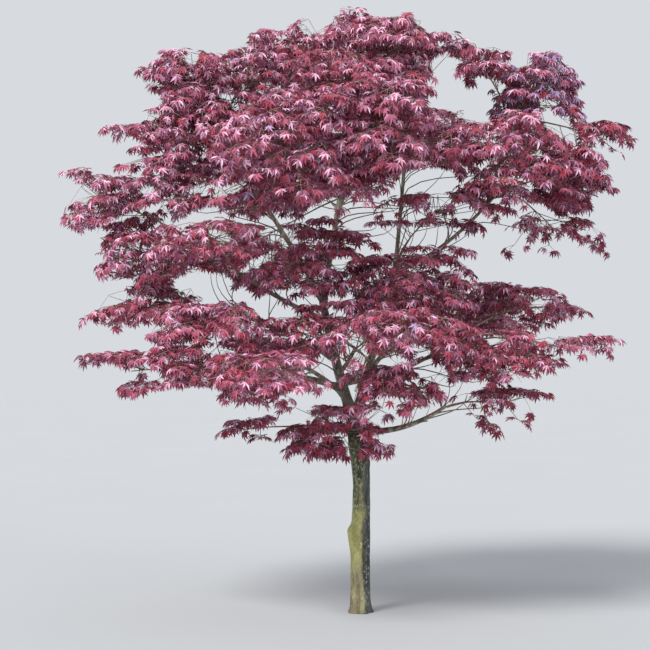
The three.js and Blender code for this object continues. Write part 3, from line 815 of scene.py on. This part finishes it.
def spray_in_reach(hubs, free, start, ahead, draw):
    """The free spray that a side twig from a place on a bough ends in: its number, or None."""
    steps = hubs - start
    gaps = np.linalg.norm(steps, axis=1)
    fits = free & (gaps > SIDE_TWIG["least"]) & (gaps < SIDE_TWIG["most"])
    fits &= steps @ ahead / gaps > SIDE_TWIG["straight"]
    fits &= steps[:, 2] > -SIDE_TWIG["sink"]
    if not fits.any():
        return None
    want = mix(SIDE_TWIG["least"], SIDE_TWIG["most"], 0.5 + SIDE_TWIG["middling"] * draw)
    return int(np.argmin(np.where(fits, abs(gaps - want), np.inf)))


def side_twig(start, ahead, spray, girth, draw):
    """A thin twig that leaves a bough ahead and to a side, and comes up to a spray from below."""
    gap = np.linalg.norm(spray.hub - start)
    aside = np.cross(ahead, UP) * draw * SIDE_TWIG["sway"]
    leaving = start + gap * (SIDE_TWIG["ahead"] * ahead + aside)
    arriving = spray.hub - SIDE_TWIG["below"] * gap * spray.up
    path = Bezier(start, leaving, arriving, spray.hub)
    points = [path.point(t) for t in np.linspace(0, 1, SIDE_TWIG["points"])]
    return np.array(points), np.linspace(girth, SIDE_TWIG["tip"], SIDE_TWIG["points"])


def side_twigs(limbs, masses):
    """The side twigs that leave the boughs on their way, as lines with radii, by name of mass."""
    targets = [(mass.name, spray) for mass in masses for spray in mass.sprays]
    hubs = np.array([spray.hub for _, spray in targets])
    free = np.ones(len(hubs), bool)
    lines = {mass.name: [] for mass in masses}
    for number, (name, limb) in enumerate(limbs.items()):
        if name == "trunk":
            continue
        curve = limb["curve"]
        count = int(np.linalg.norm(curve.point(1) - curve.point(0)) / SIDE_TWIG["every"])
        for place in range(count):
            share = mix(SIDE_TWIG["first"], 1, (place + 0.5) / count)
            start, ahead = curve.point(share), curve.heading(share)
            chosen = spray_in_reach(hubs, free, start, ahead, chance(SEED + number, place))
            if chosen is None:
                continue
            free[chosen] = False
            mass_name, spray = targets[chosen]
            girth = min(SIDE_TWIG["thickest"], SIDE_TWIG["of_bough"] * mix(*limb["radii"], share))
            sway = chance(SEED + number, place + SWAY_DRAW)
            lines[mass_name].append(side_twig(start, ahead, spray, girth, sway))
    return lines


# The leaves

Leaf = namedtuple("Leaf", "node axes length shape tint")

# A leaf in shares of its length: each lobe's bearing, reach, half width and where it is widest
LEAF_LOBES = [
    (0, 1.0, 0.125, 0.55),
    (37, 0.93, 0.12, 0.55),
    (76, 0.74, 0.1, 0.55),
    (122, 0.44, 0.07, 0.5),
]
LEAF_NOTCHES = [0.34, 0.3, 0.2, 0.06]  # how far out the notch after each lobe lies
LEAF_CURL = 0.34  # how far a lobe's tip hangs below the leaf's middle, as a share of its reach squared
LEAF_FOLD = 0.035  # how far a lobe's edges stand above its rib
LEAF_PETIOLE = dict(back=0.5, rise=-0.25, half_width=0.014)
LEAF_BACK = 40  # degrees from the last lobe to the notch behind it
PLAIN_FROM = 60  # degrees from which a lobe has no rib of its own
LOBE_TURNS = 4  # degrees by which a lobe's bearing varies
LOBE_REACHES = (0.9, 1.06)
LEAF_SHAPES = 7
# Halves of lobes in a second tint are painted light and shade on the lobes' folds, drawn at random
PAINTED_LIGHT_AND_SHADE_SHARE = 0.42  # the share of the halves of lobes that have the leaf's second tint


def leaf_shape(seed):
    """One leaf's points, triangles and which of them take the leaf's second tint as painted light and shade,
    with its petiole's foot at the origin.
    """
    draw = np.random.default_rng(seed)
    lobes = [(-b, r, w, m) for b, r, w, m in LEAF_LOBES[:0:-1]] + LEAF_LOBES
    notches = LEAF_NOTCHES[::-1] + LEAF_NOTCHES
    bearings = [b + draw.uniform(-LOBE_TURNS, LOBE_TURNS) for b, _, _, _ in lobes]
    reaches = [r * draw.uniform(*LOBE_REACHES) for _, r, _, _ in lobes]
    points, faces, painted_light_and_shade_halves = [(0, 0, 0)], [], []

    def half_lobe(*triangles):
        faces.extend(triangles)
        painted_light_and_shade_halves.extend([draw.random() < PAINTED_LIGHT_AND_SHADE_SHARE] * len(triangles))

    def point(turn, far, side=0.0, lift=0.0):
        x = far * math.cos(turn) - side * math.sin(turn)
        y = far * math.sin(turn) + side * math.cos(turn)
        points.append((x, y, lift - LEAF_CURL * (x * x + y * y)))
        return len(points) - 1

    edges = [math.radians(bearings[0] - LEAF_BACK)]
    edges += [math.radians((a + b) / 2) for a, b in zip(bearings, bearings[1:])]
    edges += [math.radians(bearings[-1] + LEAF_BACK)]
    notch = [point(turn, far) for turn, far in zip(edges, notches)]
    for k, (_, _, width, widest) in enumerate(lobes):
        turn, reach = math.radians(bearings[k]), reaches[k]
        tip = point(turn, reach)
        before, after = notch[k], notch[k + 1]
        if abs(bearings[k]) > PLAIN_FROM:
            half_lobe((0, before, tip))
            half_lobe((0, tip, after))
            continue
        right = point(turn, widest * reach, -width, LEAF_FOLD)
        left = point(turn, widest * reach, width, LEAF_FOLD)
        half_lobe((0, before, right), (0, right, tip))
        half_lobe((0, tip, left), (0, left, after))
    end, half_width = (-LEAF_PETIOLE["back"], 0, LEAF_PETIOLE["rise"]), LEAF_PETIOLE["half_width"]
    points += [(0, -half_width, 0), (0, half_width, 0), end]
    n = len(points)
    faces.append((n - 3, n - 2, n - 1))
    painted_light_and_shade_halves.append(False)
    return np.array(points, float) - end, np.array(faces), np.array(painted_light_and_shade_halves)


def leaf_frames(heading, up, droop, roll):
    """A leaf's axes: along its middle lobe, across it, and off its upper side."""
    up = unit(up - (up @ heading) * heading)
    along_leaf = math.cos(droop) * heading - math.sin(droop) * up
    off = math.sin(droop) * heading + math.cos(droop) * up
    across = np.cross(off, along_leaf)
    rolled = math.cos(roll) * across + math.sin(roll) * off
    return along_leaf, rolled, math.cos(roll) * off - math.sin(roll) * across


def leaf_on(draw, node, heading, spray, chances):
    """One leaf at a node of a shoot, in a tint drawn by the chances of its spray."""
    up = unit(SPRAY_LEAN * spray.up + UP)
    heading = unit(heading + draw.normal(0, LEAF_TURN, 3))
    droop = clamp(draw.normal(DROOP["mean"], DROOP["spread"]), DROOP["least"], DROOP["most"])
    axes = leaf_frames(heading, up, droop, draw.normal(0, LEAF_ROLL))
    length = LEAF_LENGTH * (1 + LEAF_VARIETY * draw.uniform(-1, 1))
    shape = int(draw.integers(LEAF_SHAPES))
    return Leaf(node, axes, length, shape, int(np.searchsorted(chances, draw.random())))


def in_opening(leaf):
    """Whether the middle of a leaf would be seen in one of the openings."""
    ahead, _, off = leaf.axes
    middle = leaf.node + leaf.length * (LEAF_MIDDLE["ahead"] * ahead + LEAF_MIDDLE["off"] * off)
    x, _, z = VIEWPOINT + (middle - VIEWPOINT) * VIEWPOINT[1] / (VIEWPOINT[1] - middle[1])
    across, upwards, half_width, half_height, rise = OPENINGS.T
    aside, above, turn = x - across, z - upwards, np.radians(rise)
    along_width = (aside * np.cos(turn) + above * np.sin(turn)) / half_width
    along_height = (above * np.cos(turn) - aside * np.sin(turn)) / half_height
    return bool((along_width**2 + along_height**2 < 1).any())


class Shoot:
    """A shoot from the hub of a spray to its rim, which hangs more towards its tip."""

    def __init__(self, spray, turn, reach, droop):
        self.spray, self.turn = spray, turn
        self.reach, self.droop = SHOOT["reach"] * reach, SHOOT["hang"] * droop

    def point(self, t):
        rise = SPRAY_TOP * (1 - t) - self.droop * t ** SHOOT["sag"]
        return self.spray.at(self.turn, self.reach * t, rise)

    def line(self):
        shares = np.linspace(0, SHOOT["drawn"], SHOOT["steps"])
        return np.array([self.point(t) for t in shares]), np.linspace(*SHOOT["radius"], SHOOT["steps"])

    def leaves(self, draw, chances):
        """Pairs of leaves on either side of the shoot, and one at its end."""
        spray, leaves = self.spray, []
        length = self.reach * spray.length
        last = max(PAIRS["least"], 1 - LEAF_LENGTH * PAIRS["clear"] / length)
        pairs = max(PAIRS["fewest"], round(last * length / PAIRS["step"]))
        for pair in range(pairs):
            t = last * (pair + 1) / pairs
            node = self.point(t)
            ahead = unit(self.point(t + PAIRS["ahead"]) - node)
            side = unit(np.cross(spray.up, ahead))
            spread = draw.uniform(*PAIRS["spread" if pair < pairs - 1 else "last_spread"])
            for sign in (-1, 1):
                heading = unit(math.cos(spread) * ahead + sign * math.sin(spread) * side)
                leaves.append(leaf_on(draw, node, heading, spray, chances))
        return leaves + [leaf_on(draw, node, ahead, spray, chances)]


def dress_spray(spray, mood):
    """The twig, shoots and leaves of one spray, without those in an opening."""
    draw = np.random.default_rng(spray.seed)
    chances = np.cumsum(mood)
    chances /= chances[-1]
    lines = [(np.array([spray.foot, mix(spray.foot, spray.hub, 0.5), spray.hub]), SPRAY_TWIG)]
    leaves = []
    for row in spray.rim[::2]:
        shoot = Shoot(spray, *row)
        grown = shoot.leaves(draw, chances)
        kept = [leaf for leaf in grown if not in_opening(leaf)]
        if len(kept) > FEWEST_LEAVES * len(grown):
            lines.append(shoot.line())
            leaves += kept
    return (lines, leaves) if len(lines) > FEWEST_SHOOTS else ([], [])


# Leaf colours with their roughness, and the tint that each gives to the halves of lobes with painted light
# and shade
LEAF_TINTS = {
    "crimson": ((0.295, 0.031, 0.07), 0.5, "rose"),
    # Darkest red, a painted shade
    "dark": ((0.135, 0.018, 0.044), 0.5, "crimson"),
    "plum": ((0.30, 0.080, 0.165), 0.42, "mauve_painted_highlight"),
    "rose": ((0.455, 0.117, 0.198), 0.45, "plum"),
    # Pale mauve, a painted highlight
    "mauve_painted_highlight": ((0.75, 0.46, 0.62), 0.38, "rose"),
    "ruby": ((0.35, 0.026, 0.052), 0.5, "crimson"),
    # Pale lavender, a painted sky reflection
    "lavender_painted_sky_reflection": ((0.46, 0.37, 0.60), 0.38, "plum"),
}
# The tint that each leaf's painted light and shade on its lobe halves takes
PAINTED_LIGHT_AND_SHADE_TINTS = np.array([list(LEAF_TINTS).index(second) for _, _, second in LEAF_TINTS.values()])
LEAF_BLOOM = {
    "Specular IOR Level": 0.5,
    "Sheen Weight": 0.35,
    "Sheen Roughness": 0.4,
    "Sheen Tint": (0.85, 0.72, 0.86, 1),
}

# How common each tint is in a spray, from the darkest mood, with most painted shade, to the palest, with
# most painted highlight
MOODS = [
    (0.30, 0.32, 0.13, 0.04, 0.02, 0.19, 0.00),
    (0.40, 0.13, 0.16, 0.12, 0.05, 0.14, 0.00),
    (0.24, 0.15, 0.28, 0.14, 0.14, 0.05, 0.00),
    (0.18, 0.04, 0.15, 0.27, 0.27, 0.08, 0.01),
]
# A mood with many lavender leaves, a painted sky reflection, for the masses listed below
PAINTED_SKY_REFLECTION_MOOD = (0.15, 0.06, 0.15, 0.10, 0.12, 0.06, 0.36)
PAINTED_SKY_REFLECTION_MASSES = ["right_top"]
# How far a spray's mood moves towards the palest per millimetre above a height and to the left: painted
# light up there, painted shade low on the right
PAINTED_LIGHT_BY_PLACE = dict(from_height=1950, upwards=0.00025, leftwards=0.00012)


def mood_of(spray):
    """How common each tint is in a spray: oftener pale high up and on the left as painted light, and oftener
    dark low on the right as painted shade.
    """
    x, _, z = spray.hub
    share = (chance(spray.seed, MOOD_DRAW) + 1) / 2
    share += PAINTED_LIGHT_BY_PLACE["upwards"] * (z - PAINTED_LIGHT_BY_PLACE["from_height"]) - PAINTED_LIGHT_BY_PLACE["leftwards"] * x
    return MOODS[clamp(int(share * len(MOODS)), 0, len(MOODS) - 1)]


def dress_masses(masses):
    """Grows shoots and leaves on every spray, and leaves out the sprays that stay bare."""
    for mass in masses:
        for spray in mass.sprays:
            mood = PAINTED_SKY_REFLECTION_MOOD if mass.name in PAINTED_SKY_REFLECTION_MASSES else mood_of(spray)
            spray.lines, spray.leaves = dress_spray(spray, mood)
        mass.sprays = [spray for spray in mass.sprays if spray.leaves]


# Meshes

# What the node tree for limbs is given, with its usual values: noises are in waves to a metre
LIMB_INPUTS = [
    ("Sides", "NodeSocketInt", 3),
    ("Bark relief", "NodeSocketFloat", 0.0),
    ("Furrows", "NodeSocketVector", (62.0, 62.0, 14.0)),
    ("Lumps", "NodeSocketFloat", 17.0),
    ("Bark", "NodeSocketMaterial", None),
]


class Nodes:
    """Adds nodes to a tree and joins them up."""

    def __init__(self, tree):
        self.tree = tree

    def add(self, kind, inputs=None, **settings):
        """The outputs of a new node."""
        node = self.tree.nodes.new(kind)
        for key, value in settings.items():
            setattr(node, key, value)
        for key, value in (inputs or {}).items():
            self.put(value, node.inputs[key])
        return node.outputs

    def put(self, value, socket):
        if isinstance(value, bpy.types.NodeSocket):
            self.tree.links.new(value, socket)
        else:
            socket.default_value = value


def new_object(name, data):
    made = bpy.data.objects.new(name, data)
    bpy.context.scene.collection.objects.link(made)
    return made


def new_piece(name, points, faces, materials, tints=None, smooth=False):
    """A mesh object in metres from millimetre points and triangles."""
    mesh = bpy.data.meshes.new(name)
    mesh.vertices.add(len(points))
    mesh.vertices.foreach_set("co", (np.asarray(points) * MM).astype(np.float32).ravel())
    mesh.loops.add(3 * len(faces))
    mesh.loops.foreach_set("vertex_index", np.asarray(faces, np.int32).ravel())
    mesh.polygons.add(len(faces))
    mesh.polygons.foreach_set("loop_start", 3 * np.arange(len(faces), dtype=np.int32))
    for material in materials:
        mesh.materials.append(material)
    if tints is not None:
        mesh.polygons.foreach_set("material_index", np.asarray(tints, np.int32))
    mesh.polygons.foreach_set("use_smooth", np.full(len(faces), smooth))
    mesh.update(calc_edges=True)
    return new_object(name, mesh)


def limb_tree():
    """A node tree that turns lines into round limbs of each point's own girth, with bark in relief."""
    tree = bpy.data.node_groups.new("limbs_round_their_lines", "GeometryNodeTree")
    face = tree.interface
    face.new_socket("Lines", in_out="INPUT", socket_type="NodeSocketGeometry")
    for name, kind, value in LIMB_INPUTS:
        socket = face.new_socket(name, in_out="INPUT", socket_type=kind)
        if value is not None:
            socket.default_value = value
    face.new_socket("Limbs", in_out="OUTPUT", socket_type="NodeSocketGeometry")
    nodes = Nodes(tree)

    def add(kind, inputs=None, **settings):
        return nodes.add(kind, inputs, **settings)[0]

    given = nodes.add("NodeGroupInput")
    girth = add("GeometryNodeInputNamedAttribute", {"Name": "girth"}, data_type="FLOAT")
    line = add("GeometryNodeMeshToCurve", {"Mesh": given["Lines"]})
    ring = add("GeometryNodeCurvePrimitiveCircle", {"Resolution": given["Sides"], "Radius": 1.0})
    round_line = {"Curve": line, "Profile Curve": ring, "Scale": girth, "Fill Caps": True}
    limb = add("GeometryNodeCurveToMesh", round_line)
    limb = add("GeometryNodeSetShadeSmooth", {"Geometry": limb, "Shade Smooth": True})
    place = add("GeometryNodeInputPosition")
    drawn_out = add("ShaderNodeVectorMath", {0: place, 1: given["Furrows"]}, operation="MULTIPLY")
    furrow = add("ShaderNodeTexNoise", {"Vector": drawn_out, "Scale": 1.0, "Detail": 3.0})
    lump = add("ShaderNodeTexNoise", {"Vector": place, "Scale": given["Lumps"]})
    both = add("ShaderNodeMath", {0: furrow, 1: lump}, operation="ADD")
    middle = 1.0  # each noise lies round a half
    rise = add("ShaderNodeMath", {0: both, 1: middle}, operation="SUBTRACT")
    rise = add("ShaderNodeMath", {0: rise, 1: given["Bark relief"]}, operation="MULTIPLY")
    normal = add("GeometryNodeInputNormal")
    lift = add("ShaderNodeVectorMath", {0: normal, "Scale": rise}, operation="SCALE")
    limb = add("GeometryNodeSetPosition", {"Geometry": limb, "Offset": lift})
    limb = add("GeometryNodeRealizeInstances", {"Geometry": limb})
    limb = add("GeometryNodeSetMaterial", {"Geometry": limb, "Material": given["Bark"]})
    nodes.add("NodeGroupOutput", {"Limbs": limb})
    return tree


def limbs_round(name, lines, tree, **values):
    """One mesh of limbs round (points, girths) lines, both in millimetres."""
    points = np.concatenate([line for line, _ in lines]) * MM
    girths = np.concatenate([girth for _, girth in lines]) * MM
    ends = np.cumsum([len(line) for line, _ in lines])
    last = np.zeros(len(points), bool)
    last[ends - 1] = True
    first = np.flatnonzero(~last)
    mesh = bpy.data.meshes.new(name + "_lines")
    mesh.from_pydata(points.tolist(), np.stack([first, first + 1], 1).tolist(), [])
    girth = mesh.attributes.new("girth", "FLOAT", "POINT")
    girth.data.foreach_set("value", girths.astype(np.float32))
    line_object = new_object(name + "_lines", mesh)
    modifier = line_object.modifiers.new("limbs", "NODES")
    modifier.node_group = tree
    for socket in tree.interface.items_tree:
        if socket.in_out == "INPUT" and socket.name in values:
            modifier[socket.identifier] = values[socket.name]
    shown = line_object.evaluated_get(bpy.context.evaluated_depsgraph_get())
    limbs = bpy.data.meshes.new_from_object(shown)
    limbs.name = name
    if "girth" in limbs.attributes:
        limbs.attributes.remove(limbs.attributes["girth"])
    bpy.data.objects.remove(line_object)
    return new_object(name, limbs)


def stem_line(mass):
    """A stem's middle line, with the frame's corners smoothed, and its radii."""
    shares = np.linspace(0, 1, STEM_LINE["points"])
    line = np.array([place_in_stem(mass.stem, t) for t in shares])
    line[1:-1] = (line[:-2] + 2 * line[1:-1] + line[2:]) / 4
    return line, mix(STEM["radii"][0], STEM_LINE["tip"], shares)


def leaf_mesh(leaves, shapes):
    """All leaves as one set of points, triangles and tints."""
    points, faces, tints, start = [], [], [], 0
    for index, (shape, triangles, painted_light_and_shade_halves) in enumerate(shapes):
        chosen = [leaf for leaf in leaves if leaf.shape == index]
        nodes = np.array([leaf.node for leaf in chosen])
        axes = np.array([leaf.axes for leaf in chosen])
        lengths = np.array([leaf.length for leaf in chosen])
        placed = nodes[:, None] + lengths[:, None, None] * np.einsum("vk,nkc->nvc", shape, axes)
        offsets = start + len(shape) * np.arange(len(chosen))
        points.append(placed.reshape(-1, 3))
        faces.append((triangles[None] + offsets[:, None, None]).reshape(-1, 3))
        main = np.array([leaf.tint for leaf in chosen])[:, None]
        # The lobe halves with painted light and shade take their leaf's second tint
        tints.append(np.where(painted_light_and_shade_halves, PAINTED_LIGHT_AND_SHADE_TINTS[main], main).ravel())
        start += placed.shape[0] * placed.shape[1]
    return np.concatenate(points), np.concatenate(faces), np.concatenate(tints)


# Materials

# Bark in furrows of a dark and a lighter tone, with pale flecks: the three tones, how many furrows there are
# to a metre, and between which values of a noise the flecks fade in
BARKS = dict(
    grey=((0.035, 0.036, 0.034), (0.105, 0.11, 0.10), (0.34, 0.37, 0.33), 30, (0.6, 0.68)),
    mottled=((0.04, 0.047, 0.03), (0.15, 0.165, 0.085), (0.40, 0.43, 0.31), 34, (0.5, 0.64)),
    smooth_moss=((0.31, 0.295, 0.10), (0.43, 0.42, 0.17), (0.55, 0.56, 0.33), 22, (0.6, 0.68)),
    # The foot's moss, darker and browner as painted shade
    foot_moss_painted_shade=((0.15, 0.125, 0.075), (0.30, 0.275, 0.15), (0.42, 0.40, 0.28), 22, (0.6, 0.68)),
    # The boughs' pale grey bark, made paler still as painted sunlight
    bough=((0.17, 0.155, 0.12), (0.46, 0.43, 0.345), (0.64, 0.63, 0.55), 32, (0.6, 0.68)),
)
FURROW_TONES = dict(along=0.3, detail=6.0, fades=(0.38, 0.62))
FLECKS = dict(per_furrow=2.6, along=0.6)
GRAIN = dict(scale=170, along=0.3, fades=(0.3, 0.7), palest=1.1, relief=0.5, depth=0.0015)
DEEPEST_GRAIN = dict(trunk=0.72, bough=0.62)
BARK_ROUGHNESS = 0.85

# Heights between which the foot's moss, darker as painted shade, turns smooth, and the smooth moss mottled,
# in metres and with the half of the noise added
FOOT_FADES = (0.55, 0.95)
MOSS_FADES = (1.08, 1.32)
HEIGHT_NOISE = dict(scale=9, along=0.6)
MOSS_WANDER = 0.11  # how far the moss's edge strays, in metres
MOSS_EDGE = (-0.048, -0.026)  # where across the trunk the moss ends, less half of its straying
EDGE_NOISE = dict(scale=14, along=0.4, detail=5.0)

TWIG_TONES = dict(tones=((0.20, 0.11, 0.08), (0.42, 0.32, 0.23)), scale=40, detail=3.0, fades=(0.35, 0.65))
TWIG_ROUGHNESS = 0.6
FLOOR_TONES = dict(tones=((0.44, 0.455, 0.472), (0.465, 0.48, 0.498)), scale=0.6, detail=2.0, fades=None)
FLOOR_ROUGHNESS = 0.95


class Look(Nodes):
    """A material, with its shader's sockets and the nodes that colour it."""

    def __init__(self, name, roughness):
        self.material = bpy.data.materials.new(name)
        self.material.use_nodes = True
        super().__init__(self.material.node_tree)
        self.shader = self.tree.nodes["Principled BSDF"].inputs
        self.put(roughness, self.shader["Roughness"])

    def object_place(self, scale=(1, 1, 1)):
        place = self.add("ShaderNodeTexCoord")["Object"]
        return self.add("ShaderNodeMapping", {"Vector": place, "Scale": scale})[0]

    def noise(self, scale, along=1, detail=4.0):
        """A noise whose waves are drawn out along the wood, where its scale along it is under 1."""
        place = self.object_place((1, 1, along))
        return self.add("ShaderNodeTexNoise", {"Vector": place, "Scale": scale, "Detail": detail})[0]

    def maths(self, operation, a, b):
        return self.add("ShaderNodeMath", {0: a, 1: b}, operation=operation)[0]

    def between(self, value, low, high):
        inputs = {"Value": value, "From Min": low, "From Max": high}
        return self.add("ShaderNodeMapRange", inputs, interpolation_type="SMOOTHSTEP")[0]

    def blend(self, share, a, b, **settings):
        """Two colours mixed, each an output of a node or three numbers."""
        a, b = ((*c, 1) if isinstance(c, tuple) else c for c in (a, b))
        return self.add("ShaderNodeMix", {0: share, 6: a, 7: b}, data_type="RGBA", **settings)[2]

    def bark(self, kind):
        dark, lighter, pale, scale, fleck_fades = BARKS[kind]
        furrow = self.noise(scale, FURROW_TONES["along"], FURROW_TONES["detail"])
        colour = self.blend(self.between(furrow, *FURROW_TONES["fades"]), dark, lighter)
        fleck = self.noise(FLECKS["per_furrow"] * scale, FLECKS["along"])
        return self.blend(self.between(fleck, *fleck_fades), colour, pale)

    def two_tones(self, tones, scale, detail, fades):
        share = self.noise(scale, detail=detail)
        if fades:
            share = self.between(share, *fades)
        self.put(self.blend(share, *tones), self.shader["Base Color"])
        return self.material

    def grained(self, colour, deepest):
        """The material, with fine grain along the wood in colour and relief."""
        fine = self.noise(GRAIN["scale"], GRAIN["along"])
        shade = self.between(fine, *GRAIN["fades"])
        shade = self.blend(shade, (deepest,) * 3, (GRAIN["palest"],) * 3)
        self.put(self.blend(1.0, colour, shade, blend_type="MULTIPLY"), self.shader["Base Color"])
        relief = {"Height": fine, "Strength": GRAIN["relief"], "Distance": GRAIN["depth"]}
        self.put(self.add("ShaderNodeBump", relief)[0], self.shader["Normal"])
        return self.material


def leaf_material(tint):
    """A leaf's plain colour with a slight bloom."""
    colour, roughness, _ = LEAF_TINTS[tint]
    look = Look("leaf_" + tint, roughness)
    look.put((*colour, 1), look.shader["Base Color"])
    for socket, value in LEAF_BLOOM.items():
        look.put(value, look.shader[socket])
    return look.material


def trunk_material():
    """Dark grey bark, with olive moss down the left side that is paler and yellower low on the trunk, and
    darker and browner at the foot as painted shade.
    """
    look = Look("mossy_trunk_bark", BARK_ROUGHNESS)
    place = look.add("ShaderNodeSeparateXYZ", {"Vector": look.object_place()})
    height = look.maths("ADD", place["Z"], look.noise(**HEIGHT_NOISE))
    # At the foot the moss darkens as painted shade
    moss = look.blend(look.between(height, *FOOT_FADES), look.bark("foot_moss_painted_shade"), look.bark("smooth_moss"))
    moss = look.blend(look.between(height, *MOSS_FADES), moss, look.bark("mottled"))
    wander = look.maths("MULTIPLY", look.noise(**EDGE_NOISE), MOSS_WANDER)
    side = look.maths("SUBTRACT", place["X"], wander)
    colour = look.blend(look.between(side, *MOSS_EDGE), moss, look.bark("grey"))
    return look.grained(colour, DEEPEST_GRAIN["trunk"])


def bough_material():
    # Pale grey bark with fine grain, made paler as painted sunlight on the boughs
    look = Look("pale_bough_bark_painted_sunlight", BARK_ROUGHNESS)
    return look.grained(look.bark("bough"), DEEPEST_GRAIN["bough"])


# The tree

# The masses whose leaves make one piece, and whose twigs make another
LEAF_GROUPS = {
    "low": "low_centre low_left left_low_inner left_low_middle left_low_tip right_low",
    "middle_left": "left_middle left_shelf front_low front_right front_left left_outer left_inner",
    "middle_right": "right_middle right_middle_tip right_shelf centre_left centre_right right_inner",
    "back": "back_right back_left_low back_upper_left back_upper_right back_middle_left",
    "upper_left": "left_far left_upper_inner upper_left top_left upper_left_tip left_tip_upper",
    "upper_centre": "centre_front top_centre centre_heart centre_upper top_right right_shoulder",
    "upper_right": "right_outer right_under right_upper right_top right_top_lobe right_tip",
}


def declare(piece, slot, *nodes):
    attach(piece, "root")
    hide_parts(*nodes)


def make_limbs(limbs, tree):
    points, faces = trunk_piece(limbs["trunk"]["curve"])
    trunk = new_piece("trunk_with_bark", points, faces, [trunk_material()], smooth=True)
    declare(trunk, "trunk_bark", "trunk")
    relief = BARK_RELIEF["bough"] * MM
    looks = {"Sides": BOUGH_ROUND["sides"], "Bark relief": relief, "Bark": bough_material()}
    for name, *_ in BOUGHS:
        bough = limbs_round(name + "_bough_with_bark", [bough_line(limbs[name])], tree, **looks)
        declare(bough, "bough_bark", "bough_" + name)


def make_foliage(masses, more_twigs, tree):
    shapes = [leaf_shape(seed) for seed in range(LEAF_SHAPES)]
    tints = [leaf_material(tint) for tint in LEAF_TINTS]
    twig_bark = Look("reddish_twig", TWIG_ROUGHNESS).two_tones(**TWIG_TONES)
    by_name = {mass.name: mass for mass in masses}
    for group, names in LEAF_GROUPS.items():
        lines, leaves = [], []
        for mass in (by_name[name] for name in names.split()):
            lines += [stem_line(mass)] + more_twigs[mass.name]
            for spray in mass.sprays:
                lines += spray.lines
                leaves += spray.leaves
        nodes = ["foliage_" + name for name in names.split()]
        looks = {"Sides": SHOOT["sides"], "Bark": twig_bark}
        declare(limbs_round("twigs_" + group, lines, tree, **looks), "bough_bark", *nodes)
        points, faces, tint = leaf_mesh(leaves, shapes)
        declare(new_piece("leaves_" + group, points, faces, tints, tint), "foliage", *nodes)


# The stage

CAMERA_PITCH = 1.37  # degrees above level
LENS = 83.08
SENSOR_WIDTH = 36
FLOOR_SIDE = 120  # in metres, as the places below
CROWN_MIDDLE = (0, 0, 1.8)
SKY = dict(colour=(0.80, 0.83, 0.87), strength=0.85)

# Broad lights that fall on tree and floor alike: place, strength, spread in degrees, and colour
LIGHTS = dict(
    key_light=((-8, -10, 14), 3.3, 22, (1, 0.98, 0.95)),
    fill_light=((12, -14, 7), 0.5, 40, (1, 1, 1)),
)


def make_stage():
    far = FLOOR_SIDE / 2
    mesh = bpy.data.meshes.new("floor")
    mesh.from_pydata([(-far, -far, 0), (far, -far, 0), (far, far, 0), (-far, far, 0)], [], [(0, 1, 2, 3)])
    mesh.materials.append(Look("pale_floor", FLOOR_ROUGHNESS).two_tones(**FLOOR_TONES))
    new_object("floor", mesh)


def make_lights():
    world = bpy.data.worlds.new("pale_studio")
    world.use_nodes = True
    sky = world.node_tree.nodes["Background"].inputs
    sky["Color"].default_value = (*SKY["colour"], 1)
    sky["Strength"].default_value = SKY["strength"]
    bpy.context.scene.world = world
    for name, (place, strength, spread, colour) in LIGHTS.items():
        data = bpy.data.lights.new(name, "SUN")
        data.energy, data.angle, data.color = strength, math.radians(spread), colour
        light = new_object(name, data)
        light.location = place
        light.rotation_euler = (Vector(CROWN_MIDDLE) - Vector(place)).to_track_quat("-Z", "Y").to_euler()


def make_camera():
    data = bpy.data.cameras.new("camera")
    data.lens, data.sensor_width = LENS, SENSOR_WIDTH
    camera = new_object("camera", data)
    camera.location = VIEWPOINT * MM
    camera.rotation_euler = (math.radians(90 + CAMERA_PITCH), 0, 0)
    bpy.context.scene.camera = camera


bpy.context.scene.view_settings.view_transform = "Standard"
make_camera()
make_stage()
make_lights()
round_limbs = limb_tree()
tree_limbs = grow_limbs()
make_limbs(tree_limbs, round_limbs)
tree_masses = grow_masses(tree_limbs)
dress_masses(tree_masses)
make_foliage(tree_masses, side_twigs(tree_limbs, tree_masses), round_limbs)
